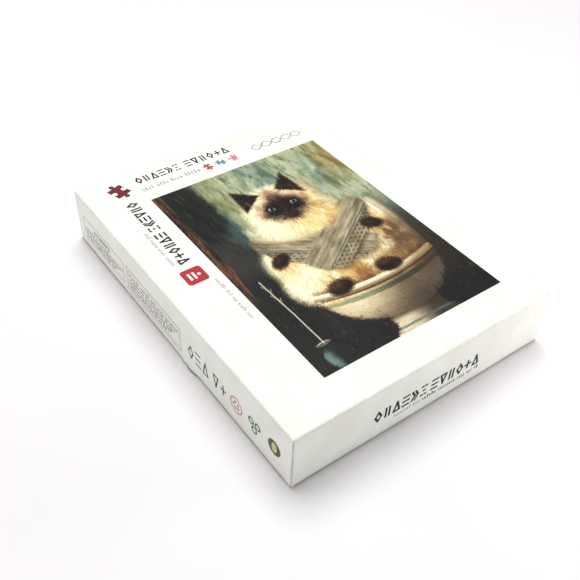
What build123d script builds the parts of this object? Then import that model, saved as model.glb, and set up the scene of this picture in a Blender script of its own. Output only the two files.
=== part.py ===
"""Boxed jigsaw puzzle: a wrapped greyboard box with a full-depth lid, a poster and a bag of wooden pieces.

Millimetres. +Z is up. The origin is the centre of the underside, where the box rests. The box's long
side runs along Y and its short side along X; the end with the large title faces -Y.
"""
from build123d import *
import math
import os
import random

# The closed box
BOX_WIDTH = 210.0  # outside, along X
BOX_LENGTH = 275.0  # outside, along Y
BOX_HEIGHT = 45.0  # table to lid top
LID_RIM = 1.0  # height of the lid skirt's rim above the table

# Sheet materials
BOARD = 1.5  # greyboard
PAPER = 0.25  # wrapping paper with its glue
STAY_TAPE = 0.2  # paper tape over the corners of each blank

# How the lid fits the base
SIDE_GAP = 0.6  # between the lid's turned-in paper and the base's wrap, on each side
RIM_GAP = 0.25  # between the lid's top panel and the base's rim

# Folds of the wrapping paper
CORNER_RADIUS = 0.85  # outside radius of every wrapped edge
LID_TURN_IN = 18.0  # paper glued up the inside of the lid's skirts
BASE_TURN_IN = 14.0  # paper glued down the inside of the base's walls
TURN_UNDER = 15.0  # paper glued under the base's floor
SHEET_MARGIN = 2.0  # bottom sheet inside the base's edge
STAY_LEG = 20.0  # reach of a stay tape along each wall
STAY_INSET = 3.0  # distance of a stay tape from the blank's rim and panel

# The puzzle
COLUMNS = 15
ROWS = 20
PIECE_WIDTH = 20.0
PIECE_LENGTH = 21.0
PIECE_THICKNESS = 2.0
KNOB_RADIUS = 2.4
KNOB_CENTRE = 2.7  # knob centre beyond the piece's edge
KNOB_SHIFT = 1.2  # most that a knob stands off the middle of its edge
NECK_RADIUS = 1.3  # hollow fillets at the knob's neck
CUT_SEED = 3

# How the loose pieces lie in the bag
HEAP_COLUMNS = 5
HEAP_ROWS = 7
HEAP_LAYERS = 10
HEAP_PITCH = 31.8  # from one piece to the next in a layer, more than a piece's reach in any turn
LAYER_PITCH = 3.15
LAYER_SHIFT = (8.0, 8.0)  # sideways play of one layer on the next, along X and Y
HEAP_FALL = 7.0  # how much lower the heap is at its corners than in the middle
HEAP_LEAN = 1.3  # degrees, most that a piece leans
HEAP_SEED = 20

# The bag
FILM = 0.12
BAG_GAP = 0.1  # bag to the tray's floor
BAG_PLAY = 2.5  # film to the nearest piece at the sides
BAG_HEADROOM = 0.4  # film to the nearest piece below and above
BAG_CORNER_RADIUS = 12.0
BAG_EDGE_RADIUS = 2.0
MOUTH_HEIGHT = 4.0  # of the mouth's lower film above the bag's underside
MOUTH_GAP = 1.2  # between the two films of the mouth
MOUTH_LENGTH = 10.0
BOTTOM_SEAM_LENGTH = 6.0
SEAL_WIDTH = 5.0
SEAL_BACK = 0.25  # backing strip of each seal profile
SEAL_RIB = 0.5  # width of the rib
SEAL_CLEARANCE = 0.05  # between the rib and the lips that grip it

# The poster
POSTER_PANEL = (148.5, 210.0)  # folded size: a 297 x 420 sheet folded across and then lengthwise
POSTER_PAPER = 0.2
POSTER_SPACING = 0.55  # from one folded layer to the next
POSTER_RISE = 1.2  # poster above the bag

# Worked out from the above
LID_WALL = PAPER + BOARD + PAPER
BASE_WIDTH = BOX_WIDTH - 2 * (LID_WALL + SIDE_GAP)
BASE_LENGTH = BOX_LENGTH - 2 * (LID_WALL + SIDE_GAP)
BASE_RIM = BOX_HEIGHT - PAPER - BOARD - RIM_GAP
TRAY_FLOOR = PAPER + BOARD
BOARD_RADIUS = CORNER_RADIUS - PAPER
BAG_WIDTH = HEAP_COLUMNS * HEAP_PITCH + LAYER_SHIFT[0] * 2 + 2 * BAG_PLAY
BAG_LENGTH = HEAP_ROWS * HEAP_PITCH + LAYER_SHIFT[1] * 2 + 2 * BAG_PLAY
BAG_LOW = TRAY_FLOOR + BAG_GAP
HEAP_LOW = BAG_LOW + FILM + BAG_HEADROOM
BAG_HIGH = HEAP_LOW + HEAP_LAYERS * LAYER_PITCH + BAG_HEADROOM + FILM
MOUTH_LOW = BAG_LOW + MOUTH_HEIGHT


def rounded_block(width, length, low, high, radius):
    """Upright block centred on the Z axis, with rounded vertical edges."""
    outline = RectangleRounded(width, length, radius)
    return extrude(Plane.XY.offset(low) * outline, high - low)


def square_block(width, length, low, high):
    """Upright block centred on the Z axis, with sharp edges."""
    return Pos(0, 0, low) * Box(width, length, high - low, align=(Align.CENTER, Align.CENTER, Align.MIN))


def block_between(corner, opposite):
    """Block with two opposite corners given."""
    low = [min(a, b) for a, b in zip(corner, opposite)]
    size = [abs(a - b) for a, b in zip(corner, opposite)]
    return Pos(*low) * Box(*size, align=(Align.MIN, Align.MIN, Align.MIN))


def corner_stays(width, length, low, high):
    """Four tapes, each round one vertical corner of a blank, pressed flush into its surface."""
    ring = rounded_block(width, length, low, high, BOARD_RADIUS)
    inside = rounded_block(
        width - 2 * STAY_TAPE, length - 2 * STAY_TAPE, low, high, BOARD_RADIUS - STAY_TAPE
    )
    between = square_block(width - 2 * STAY_LEG, length, low, high)
    between += square_block(width, length - 2 * STAY_LEG, low, high)
    return ring - inside - between


def rounded_at_top(block, radius):
    """The same block with the edges of its top face rounded."""
    return fillet(block.faces().sort_by(Axis.Z)[-1].edges(), radius)


def make_lid():
    """The lid's greyboard blank, its corner tapes and its printed wrap."""
    board_width = BOX_WIDTH - 2 * PAPER
    board_length = BOX_LENGTH - 2 * PAPER
    board_low = LID_RIM + PAPER
    board_high = BOX_HEIGHT - PAPER
    hollow_width = board_width - 2 * BOARD
    hollow_length = board_length - 2 * BOARD
    turn_in_high = LID_RIM + LID_TURN_IN

    blank = rounded_block(board_width, board_length, board_low, board_high, BOARD_RADIUS)
    blank = rounded_at_top(blank, BOARD_RADIUS)
    stays = corner_stays(board_width, board_length, board_low + STAY_INSET, board_high - STAY_INSET)
    hollow = square_block(hollow_width, hollow_length, LID_RIM, board_high - BOARD)
    board = blank - hollow - stays

    wrap = rounded_block(BOX_WIDTH, BOX_LENGTH, LID_RIM, BOX_HEIGHT, CORNER_RADIUS)
    wrap = rounded_at_top(wrap, CORNER_RADIUS) - blank
    wrap -= square_block(hollow_width, hollow_length, LID_RIM, board_low)
    turn_in = square_block(hollow_width, hollow_length, LID_RIM, turn_in_high)
    turn_in -= square_block(hollow_width - 2 * PAPER, hollow_length - 2 * PAPER, LID_RIM, turn_in_high)
    return {"lid_board": board, "lid_corner_stays": stays, "lid_wrap": wrap + turn_in}


def make_base():
    """The base's greyboard blank, its corner tapes, its white wrap and the sheet under its floor."""
    board_width = BASE_WIDTH - 2 * PAPER
    board_length = BASE_LENGTH - 2 * PAPER
    board_high = BASE_RIM - PAPER
    hollow_width = board_width - 2 * BOARD
    hollow_length = board_length - 2 * BOARD
    turn_in_low = BASE_RIM - BASE_TURN_IN

    wrap = rounded_block(BASE_WIDTH, BASE_LENGTH, PAPER, BASE_RIM, CORNER_RADIUS)
    wrap -= rounded_block(board_width, board_length, 2 * PAPER, board_high, BOARD_RADIUS)
    wrap -= square_block(BASE_WIDTH - 2 * TURN_UNDER, BASE_LENGTH - 2 * TURN_UNDER, PAPER, 2 * PAPER)
    wrap -= square_block(hollow_width, hollow_length, board_high, BASE_RIM)
    turn_in = square_block(hollow_width, hollow_length, turn_in_low, BASE_RIM)
    turn_in -= square_block(hollow_width - 2 * PAPER, hollow_length - 2 * PAPER, turn_in_low, BASE_RIM)
    wrap += turn_in

    stays = corner_stays(board_width, board_length, TRAY_FLOOR + STAY_INSET, board_high - STAY_INSET)
    board = rounded_block(board_width, board_length, PAPER, board_high, BOARD_RADIUS)
    board -= square_block(hollow_width, hollow_length, TRAY_FLOOR, board_high)
    board = board - wrap - stays

    sheet = square_block(BASE_WIDTH - 2 * SHEET_MARGIN, BASE_LENGTH - 2 * SHEET_MARGIN, 0, PAPER)
    return {"base_board": board, "base_corner_stays": stays, "base_wrap": wrap, "bottom_sheet": sheet}


def knob_edge(start, end, side, shift):
    """One cut edge of a piece, from start to end, with its knob to the left (side 1) or right (-1)."""
    along = (end - start).normalized()
    across = along.rotate(Axis.Z, 90) * side
    middle = (end - start).length / 2 + shift
    rise = KNOB_CENTRE - NECK_RADIUS
    spread = math.sqrt((KNOB_RADIUS + NECK_RADIUS) ** 2 - rise**2)

    def at(u, v):
        return start + along * u + across * v

    def neck(sign):
        """The neck fillet's foot on the edge, its middle, and the point where it meets the knob."""
        centre = middle + sign * spread
        angle_in = math.atan2(rise, spread)
        points = [at(centre, 0)]
        for angle in ((angle_in - math.pi / 2) / 2, angle_in):
            in_from_foot = sign * NECK_RADIUS * math.cos(angle)
            points.append(at(centre - in_from_foot, NECK_RADIUS * (1 + math.sin(angle))))
        return points

    left = neck(-1)
    right = neck(1)
    top = at(middle, KNOB_CENTRE + KNOB_RADIUS)
    return [
        Line(start, left[0]),
        ThreePointArc(left[0], left[1], left[2]),
        ThreePointArc(left[2], top, right[2]),
        ThreePointArc(right[2], right[1], right[0]),
        Line(right[0], end),
    ]


def cut_lines():
    """Side and shift of the knob on every cut line, keyed by row, column and direction."""
    draw = random.Random(CUT_SEED)
    cuts = {}
    for row in range(ROWS + 1):
        for column in range(COLUMNS + 1):
            for direction in ("across", "up"):
                cuts[row, column, direction] = (draw.choice((-1, 1)), draw.uniform(-1, 1) * KNOB_SHIFT)
    return cuts


def piece_at(row, column, cuts):
    """One wooden piece, lying flat and centred on the origin, as it is cut from the sheet."""
    half_width = PIECE_WIDTH / 2
    half_length = PIECE_LENGTH / 2
    low_left = Vector(-half_width, -half_length)
    low_right = Vector(half_width, -half_length)
    high_left = Vector(-half_width, half_length)
    high_right = Vector(half_width, half_length)

    def side_edges(start, end, key, is_border):
        return [Line(start, end)] if is_border else knob_edge(start, end, *cuts[key])

    edges = side_edges(low_left, low_right, (row, column, "across"), row == 0)
    edges += side_edges(high_left, high_right, (row + 1, column, "across"), row == ROWS - 1)
    edges += side_edges(low_left, high_left, (row, column, "up"), column == 0)
    edges += side_edges(low_right, high_right, (row, column + 1, "up"), column == COLUMNS - 1)
    return extrude(make_face(edges), PIECE_THICKNESS / 2, both=True)


def heap_places():
    """A place in the bag for every piece, in a low heap of leaning, turned and overturned pieces."""
    draw = random.Random(HEAP_SEED)
    corner = math.hypot(HEAP_COLUMNS - 1, HEAP_ROWS - 1) / 2
    cells = []
    for layer in range(HEAP_LAYERS):
        shift_x = draw.uniform(-1, 1) * LAYER_SHIFT[0]
        shift_y = draw.uniform(-1, 1) * LAYER_SHIFT[1]
        for column in range(HEAP_COLUMNS):
            for row in range(HEAP_ROWS):
                from_middle = (column - (HEAP_COLUMNS - 1) / 2, row - (HEAP_ROWS - 1) / 2)
                height = layer * LAYER_PITCH + HEAP_FALL * (math.hypot(*from_middle) / corner) ** 2
                x = from_middle[0] * HEAP_PITCH + shift_x
                y = from_middle[1] * HEAP_PITCH + shift_y
                z = HEAP_LOW + (layer + 0.5) * LAYER_PITCH
                cells.append((height, x, y, z))
    cells.sort()
    places = []
    for _, x, y, z in cells[: ROWS * COLUMNS]:
        overturned = draw.choice((0, 180))
        lean_x = draw.uniform(-1, 1) * HEAP_LEAN
        lean_y = draw.uniform(-1, 1) * HEAP_LEAN
        places.append(Location((x, y, z), (overturned + lean_x, lean_y, draw.uniform(0, 360))))
    draw.shuffle(places)
    return places


def make_puzzle():
    """Every piece of the puzzle where it lies in the bag, one group for each row of the picture."""
    cuts = cut_lines()
    places = heap_places()
    groups = {}
    for row in range(ROWS):
        pieces = []
        for column in range(COLUMNS):
            pieces.append(places[row * COLUMNS + column] * piece_at(row, column, cuts))
        groups[f"puzzle_row_{row + 1:02d}"] = Compound(children=pieces)
    return groups


def make_bag():
    """The film bag round the heap, with a welded seam at one end, and the press seal in its mouth."""
    half_width = BAG_WIDTH / 2 - BAG_CORNER_RADIUS
    half_length = BAG_LENGTH / 2
    mouth_high = MOUTH_LOW + 2 * FILM + MOUTH_GAP
    mouth_end = half_length + MOUTH_LENGTH

    outside = rounded_block(BAG_WIDTH, BAG_LENGTH, BAG_LOW, BAG_HIGH, BAG_CORNER_RADIUS)
    ends = outside.faces().sort_by(Axis.Z)
    outside = fillet(ends[0].edges() + ends[-1].edges(), BAG_EDGE_RADIUS)
    inside = rounded_block(
        BAG_WIDTH - 2 * FILM, BAG_LENGTH - 2 * FILM, BAG_LOW + FILM, BAG_HIGH - FILM,
        BAG_CORNER_RADIUS - FILM,
    )
    ends = inside.faces().sort_by(Axis.Z)
    inside = fillet(ends[0].edges() + ends[-1].edges(), BAG_EDGE_RADIUS - FILM)
    mouth = block_between(
        (-half_width, half_length - FILM / 2, MOUTH_LOW), (half_width, mouth_end, mouth_high)
    )
    slot = block_between(
        (-half_width + FILM, half_length - 2 * FILM, MOUTH_LOW + FILM),
        (half_width - FILM, mouth_end, mouth_high - FILM),
    )
    seam = block_between(
        (-half_width, -half_length + FILM / 2, MOUTH_LOW),
        (half_width, -half_length - BOTTOM_SEAM_LENGTH, MOUTH_LOW + 2 * FILM),
    )
    bag = outside + mouth + seam - inside - slot

    seal_middle = half_length + MOUTH_LENGTH / 2
    half_seal = half_width - 2 * FILM
    low = MOUTH_LOW + FILM
    high = mouth_high - FILM

    def strip(half_strip, offset, bottom, top):
        """A straight run along the mouth, half_strip to each side of a line offset from its middle."""
        line = seal_middle + offset
        return block_between((-half_seal, line - half_strip, bottom), (half_seal, line + half_strip, top))

    rib = strip(SEAL_WIDTH / 2, 0, low, low + SEAL_BACK)
    rib += strip(SEAL_RIB / 2, 0, low, high - SEAL_BACK - SEAL_CLEARANCE)
    lips = strip(SEAL_WIDTH / 2, 0, high - SEAL_BACK, high)
    for side in (-1, 1):
        offset = side * (SEAL_RIB + SEAL_CLEARANCE)
        lips += strip(SEAL_RIB / 2, offset, low + SEAL_BACK + SEAL_CLEARANCE, high)
    return {"piece_bag": bag, "bag_press_seal": Compound(children=[rib, lips])}


def fold_bend(length, middle_height, spacing):
    """Half ring of paper along X, bulging towards -Y, that joins two layers a spacing apart."""
    ring = Circle((spacing + POSTER_PAPER) / 2) - Circle((spacing - POSTER_PAPER) / 2)
    ring -= Pos(spacing, 0) * Rectangle(2 * spacing, 4 * spacing)
    section = Plane(origin=(0, 0, middle_height), x_dir=(0, 1, 0), z_dir=(1, 0, 0)) * ring
    return extrude(section, length)


def make_poster():
    """The folded poster: four layers, joined in pairs at its end fold and all together at its side fold."""
    width, length = POSTER_PANEL
    low = BAG_HIGH + POSTER_RISE
    corner = (-width / 2, -length / 2)
    heights = [low + POSTER_PAPER / 2 + POSTER_SPACING * layer for layer in range(4)]
    poster = None
    for height in heights:
        panel = block_between(
            (*corner, height - POSTER_PAPER / 2), (-corner[0], -corner[1], height + POSTER_PAPER / 2)
        )
        poster = panel if poster is None else poster + panel
    for pair in ((0, 1), (2, 3)):
        bend = fold_bend(width, (heights[pair[0]] + heights[pair[1]]) / 2, POSTER_SPACING)
        poster += Pos(*corner, 0) * bend
    for spacing in (POSTER_SPACING, 3 * POSTER_SPACING):
        bend = fold_bend(length, (heights[0] + heights[3]) / 2, spacing)
        poster += Pos(-corner[0], corner[1], 0) * Rot(0, 0, 90) * bend
    return {"picture_poster": poster}


os.makedirs("parts", exist_ok=True)
nodes = make_lid() | make_base() | make_poster() | make_bag() | make_puzzle()
for name, shape in nodes.items():
    export_step(shape, f"parts/{name}.step")
print(f"bag {BAG_WIDTH:.1f} x {BAG_LENGTH:.1f}, from {BAG_LOW:.2f} to {BAG_HIGH:.2f}")
print(f"base rim {BASE_RIM:.2f}")
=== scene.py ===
"""Boxed jigsaw puzzle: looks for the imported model, its printed lid, its contents, the light and the camera.

Metres, in the frame's own axes: +Z up, the box's long side along Y, its large title facing -Y.
"""
import math
import random

import bmesh
import bpy
import numpy as np
from mathutils import Matrix, Vector
from mathutils.geometry import delaunay_2d_cdt


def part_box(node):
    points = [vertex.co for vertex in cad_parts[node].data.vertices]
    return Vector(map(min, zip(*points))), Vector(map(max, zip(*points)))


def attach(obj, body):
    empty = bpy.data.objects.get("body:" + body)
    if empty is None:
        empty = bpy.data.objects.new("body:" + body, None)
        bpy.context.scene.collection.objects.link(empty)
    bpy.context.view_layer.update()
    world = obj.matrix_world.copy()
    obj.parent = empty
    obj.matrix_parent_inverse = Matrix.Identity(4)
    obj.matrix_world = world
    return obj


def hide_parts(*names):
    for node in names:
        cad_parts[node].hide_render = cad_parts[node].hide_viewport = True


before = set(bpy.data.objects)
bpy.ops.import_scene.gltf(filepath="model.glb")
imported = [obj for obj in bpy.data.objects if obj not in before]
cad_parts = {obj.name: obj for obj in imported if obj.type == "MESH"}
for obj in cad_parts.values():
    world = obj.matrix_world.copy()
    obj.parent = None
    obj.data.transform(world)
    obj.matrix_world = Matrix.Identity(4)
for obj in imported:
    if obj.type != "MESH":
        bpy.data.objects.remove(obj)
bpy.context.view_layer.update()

MM = 0.001
LID_LOW, LID_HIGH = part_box("lid_wrap")
BAG_LOW, BAG_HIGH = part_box("piece_bag")
POSTER_LOW, POSTER_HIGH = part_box("picture_poster")
HALF_WIDTH, HALF_LENGTH, TOP = LID_HIGH
LENGTH = 2 * HALF_LENGTH
RIM = LID_LOW[2]
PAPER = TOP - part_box("lid_board")[1][2]


# ---------------------------------------------------------------- materials

def srgb(red, green, blue):
    """Linear colour from 0..255 display values."""
    linear = []
    for value in (red, green, blue):
        share = value / 255
        linear.append(share / 12.92 if share <= 0.04045 else ((share + 0.055) / 1.055) ** 2.4)
    return (*linear, 1.0)


def feed(tree, socket, value):
    """Set a socket to a value, or link it to another node's output."""
    if isinstance(value, bpy.types.NodeSocket):
        tree.links.new(value, socket)
    else:
        socket.default_value = value


def add_node(tree, kind, **inputs):
    """A new node, each of its named sockets fed with a value or another node's output."""
    node = tree.nodes.new("ShaderNode" + kind)
    for name, value in inputs.items():
        feed(tree, node.inputs[name.replace("_", " ")], value)
    return node


class Paint:
    """A procedural material: its shader, and short calls for the nodes that feed it."""

    def __init__(self, name, roughness, specular):
        self.material = bpy.data.materials.new(name)
        self.material.use_nodes = True
        self.tree = self.material.node_tree
        self.shader = self.tree.nodes["Principled BSDF"]
        self.feed_shader(Roughness=roughness, Specular_IOR_Level=specular)
        self.where = self.node("TexCoord").outputs["Object"]

    def node(self, kind, **inputs):
        return add_node(self.tree, kind, **inputs)

    def feed_shader(self, **inputs):
        for name, value in inputs.items():
            feed(self.tree, self.shader.inputs[name.replace("_", " ")], value)

    def stretched(self, scale):
        """Object coordinates, scaled by a different amount along each axis."""
        return self.node("Mapping", Vector=self.where, Scale=scale).outputs["Vector"]

    def noise(self, scale, detail, distortion=0.0, vector=None):
        vector = vector or self.where
        node = self.node("TexNoise", Vector=vector, Scale=scale, Detail=detail, Distortion=distortion)
        return node.outputs["Fac"]

    def cells(self, scale):
        return self.node("TexVoronoi", Vector=self.where, Scale=scale).outputs["Distance"]

    def ramp(self, value, low, high, start=0.0, end=1.0):
        """value, rescaled from low..high to start..end and held there."""
        node = self.node("MapRange", Value=value, From_Min=low, From_Max=high, To_Min=start, To_Max=end)
        node.interpolation_type = "SMOOTHSTEP"
        return node.outputs["Result"]

    def patches(self, scale, detail, low, high, start=0.0, end=1.0):
        """Patches of noise, rescaled from low..high to start..end."""
        return self.ramp(self.noise(scale, detail), low, high, start, end)

    def maths(self, operation, first, second):
        node = self.node("Math")
        node.operation = operation
        feed(self.tree, node.inputs[0], first)
        feed(self.tree, node.inputs[1], second)
        return node.outputs["Value"]

    def times(self, first, second):
        return self.maths("MULTIPLY", first, second)

    def mix(self, share, first, second, blend="MIX"):
        """Colour between first and second, each given as display values or as a node's output."""
        node = self.node("Mix")
        node.data_type = "RGBA"
        node.blend_type = blend
        for index, value in ((0, share), (6, first), (7, second)):
            feed(self.tree, node.inputs[index], srgb(*value) if isinstance(value, tuple) else value)
        return node.outputs[2]

    def attribute(self, name, output="Fac"):
        node = self.node("Attribute")
        node.attribute_name = name
        return node.outputs[output]

    def finished(self, colour, height=None, depth=0.0, strength=0.0):
        """The material with its colour, and with a bump where a height is given."""
        self.feed_shader(Base_Color=colour)
        if height:
            bump = self.node("Bump", Distance=depth, Strength=strength, Height=height)
            self.feed_shader(Normal=bump.outputs["Normal"])
        return self.material


def coated_paper():
    """White matt art paper on the lid: faint mottle, rubbed edges, a few specks, darker corner lines, painted
    rim shade.
    """
    paint = Paint("coated_white_paper", 0.5, 0.35)
    colour = paint.mix(paint.patches(45, 5, 0.35, 0.7), (238, 239, 231), (245, 246, 240))
    colour = paint.mix(paint.patches(9, 3, 0.4, 0.75, 0, 0.3), colour, (234, 232, 222))
    rubbed = paint.times(paint.attribute("wear"), paint.patches(420, 4, 0.42, 0.62))
    colour = paint.mix(paint.times(rubbed, 0.22), colour, (206, 200, 186))
    speck = paint.ramp(paint.cells(95), 0.035, 0.02)
    colour = paint.mix(paint.times(speck, paint.patches(22, 2, 0.6, 0.64)), colour, (150, 140, 122))
    # painted shade along the bottom rim, and a darker line down each vertical corner
    shaded_rim_and_corner_line = paint.times(paint.attribute("rim_shade_and_corner_line"), paint.patches(160, 3, 0.25, 0.6, 0.45, 1.0))
    colour = paint.mix(shaded_rim_and_corner_line, colour, (112, 108, 100))
    paint.feed_shader(Roughness=paint.patches(120, 3, 0.3, 0.7, 0.44, 0.56))
    return paint.finished(colour, paint.noise(1400, 3), 0.00002, 0.35)


def plain_paper(name, light, dark, grain=900):
    """Uncoated paper with fine fibre and a soft, wide mottle."""
    paint = Paint(name, 0.72, 0.25)
    fibre = paint.noise(grain, 4, 1.5)
    colour = paint.mix(paint.ramp(fibre, 0.3, 0.7, 0.0, 0.45), light, dark)
    colour = paint.mix(paint.patches(14, 4, 0.35, 0.75, 0, 0.35), colour, dark)
    return paint.finished(colour, fibre, 0.00002, 0.4)


def greyboard():
    """Recycled greyboard: mixed fibres, flecks of old print and a rough surface."""
    paint = Paint("recycled_greyboard", 0.88, 0.2)
    fibre = paint.noise(700, 5, 2.5)
    colour = paint.mix(paint.ramp(fibre, 0.3, 0.7), (136, 130, 120), (176, 170, 158))
    colour = paint.mix(paint.patches(60, 4, 0.4, 0.7, 0, 0.5), colour, (150, 146, 140))
    fleck = paint.ramp(paint.cells(420), 0.11, 0.05)
    colour = paint.mix(paint.times(fleck, paint.patches(160, 2, 0.5, 0.6)), colour, (84, 82, 84))
    pale = paint.ramp(paint.cells(290), 0.10, 0.04)
    colour = paint.mix(paint.times(pale, 0.6), colour, (206, 200, 186))
    return paint.finished(colour, fibre, 0.00008, 0.6)


def ink(name, colour):
    """One printing ink: slightly uneven coverage that lets the paper through."""
    paint = Paint(name, 0.5, 0.15)
    lighter = tuple(value + (255 - value) * 0.1 for value in colour)
    return paint.finished(paint.mix(paint.patches(1500, 3, 0.3, 0.75), colour, lighter))


def painted_print(name, roughness):
    """The printed picture: its colours, with the fine rosette of the print and a slight varnish."""
    paint = Paint(name, roughness, 0.12)
    dots = paint.patches(2600, 2, 0.3, 0.7, 0.93, 1.06)
    colour = paint.mix(1.0, paint.attribute("picture", "Color"), dots, "MULTIPLY")
    return paint.finished(colour, paint.noise(900, 3), 0.00002, 0.3)


def bare_wood():
    """Back face of a piece: pale basswood ply with long grain."""
    paint = Paint("basswood_back", 0.62, 0.3)
    along = paint.stretched((1.0, 0.12, 1.0))
    grain = paint.noise(260, 5, 1.2, along)
    colour = paint.mix(paint.ramp(grain, 0.3, 0.7), (190, 152, 104), (222, 190, 142))
    pore = paint.ramp(paint.noise(1300, 2, 0, along), 0.62, 0.74, 0, 0.5)
    return paint.finished(paint.mix(pore, colour, (150, 110, 70)), grain, 0.00005, 0.4)


def burnt_edge():
    """Laser-cut edge of a piece: scorched brown, with the ply layers just showing."""
    paint = Paint("laser_burnt_edge", 0.7, 0.25)
    layers = paint.noise(900, 3, 0.5, paint.stretched((0.15, 0.15, 1.6)))
    return paint.finished(paint.mix(paint.ramp(layers, 0.35, 0.65), (58, 36, 22), (120, 82, 50)))


def clear_film():
    """Thin polyethylene: almost clear face on, milky and bright where it turns away or creases."""
    paint = Paint("clear_film", 0.1, 0.7)
    facing = paint.node("LayerWeight", Blend=0.3).outputs["Facing"]
    turned = paint.ramp(facing, 0.25, 1.0, 0.045, 0.5)
    crease = paint.ramp(paint.noise(60, 3, 2.0), 0.58, 0.72, 0, 0.14)
    paint.feed_shader(Alpha=paint.maths("ADD", turned, crease))
    colour = paint.mix(paint.patches(30, 3, 0.3, 0.7), (232, 238, 240), (250, 252, 252))
    return paint.finished(colour, paint.noise(45, 4, 1.5), 0.0015, 0.6)


def seal_plastic():
    """Press seal: milky plastic with a faint blue cast and fine ribs."""
    paint = Paint("press_seal_plastic", 0.3, 0.5)
    colour = paint.mix(paint.patches(160, 3, 0.3, 0.7), (188, 206, 224), (222, 230, 238))
    return paint.finished(colour, paint.noise(900, 2, 0, paint.stretched((0.02, 1.0, 1.0))), 0.00006, 0.6)


# ---------------------------------------------------------------- the painted picture

# Places in the picture are shares of its width, from its lower left corner.
PICTURE_CELLS = 400  # across the picture
PICTURE_TALL = 1.4  # height of the picture over its width
BOWL_MIDDLE = 0.575
BOWL_REACH = 0.335
RIM_HEIGHT = 0.325
FACE_MIDDLE = 0.515


def smooth(value, low, high):
    """0 below low, 1 above high and a soft ramp between."""
    share = np.clip((value - low) / (high - low), 0, 1)
    return share * share * (3 - 2 * share)


def value_noise(x, y, size, seed, stretch=1.0):
    """Smooth noise in 0..1 with blobs of that size, stretched along y."""
    table = np.random.default_rng(seed).random((128, 128))
    grid_x = x / size + 64
    grid_y = y / (size * stretch) + 64
    column = np.floor(grid_x).astype(int)
    row = np.floor(grid_y).astype(int)
    across = smooth(grid_x - column, 0, 1)
    up = smooth(grid_y - row, 0, 1)

    def corner(right, above):
        return table[(column + right) % 128, (row + above) % 128]

    low = corner(0, 0) * (1 - across) + corner(1, 0) * across
    high = corner(0, 1) * (1 - across) + corner(1, 1) * across
    return low * (1 - up) + high * up


def fractal(x, y, size, seed, stretch=1.0):
    """Three octaves of value noise."""
    total = 0
    for octave in range(3):
        total = total + value_noise(x, y, size / 2**octave, seed + 17 * octave, stretch) / 2**octave
    return total / 1.75


def tone(colour):
    """Shares of 1 from a colour's display values; an array of colours stays as it is."""
    return np.array(colour, float) / 255 if isinstance(colour, tuple) else colour


def between(first, second, share):
    """Colours from first to second; either may be one colour for the whole picture."""
    return tone(first) + (tone(second) - tone(first)) * share[..., None]


def rounded(x, y, centre, reach, turn=0.0, soft=0.02):
    """Mask of a tilted ellipse with a soft edge."""
    cosine = math.cos(math.radians(turn))
    sine = math.sin(math.radians(turn))
    along = (x - centre[0]) * cosine + (y - centre[1]) * sine
    across = (y - centre[1]) * cosine - (x - centre[0]) * sine
    radius = np.sqrt((along / reach[0]) ** 2 + (across / reach[1]) ** 2)
    return 1 - smooth(radius, 1 - soft / min(reach), 1 + soft / min(reach))


def segment_distance(x, y, start, end):
    """Distance to a segment."""
    step = (end[0] - start[0], end[1] - start[1])
    share = ((x - start[0]) * step[0] + (y - start[1]) * step[1]) / (step[0] ** 2 + step[1] ** 2)
    share = np.clip(share, 0, 1)
    return np.hypot(x - start[0] - share * step[0], y - start[1] - share * step[1])


def line_mask(x, y, points, width, soft=0.004):
    """Mask of a line through the points."""
    mask = np.zeros_like(x)
    for start, end in zip(points, points[1:]):
        distance = segment_distance(x, y, start, end)
        mask = np.maximum(mask, 1 - smooth(distance, width - soft, width + soft))
    return mask


def shape_mask(x, y, points, soft=0.01):
    """Mask of a closed outline."""
    inside = np.zeros(x.shape, bool)
    nearest = np.full(x.shape, 9.0)
    for start, end in zip(points, points[1:] + points[:1]):
        nearest = np.minimum(nearest, segment_distance(x, y, start, end))
        rise = end[1] - start[1] or 1e-9
        crossing = start[0] + (end[0] - start[0]) * (y - start[1]) / rise
        inside ^= ((start[1] > y) != (end[1] > y)) & (x < crossing)
    return smooth(np.where(inside, nearest, -nearest), -soft, soft)


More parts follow.
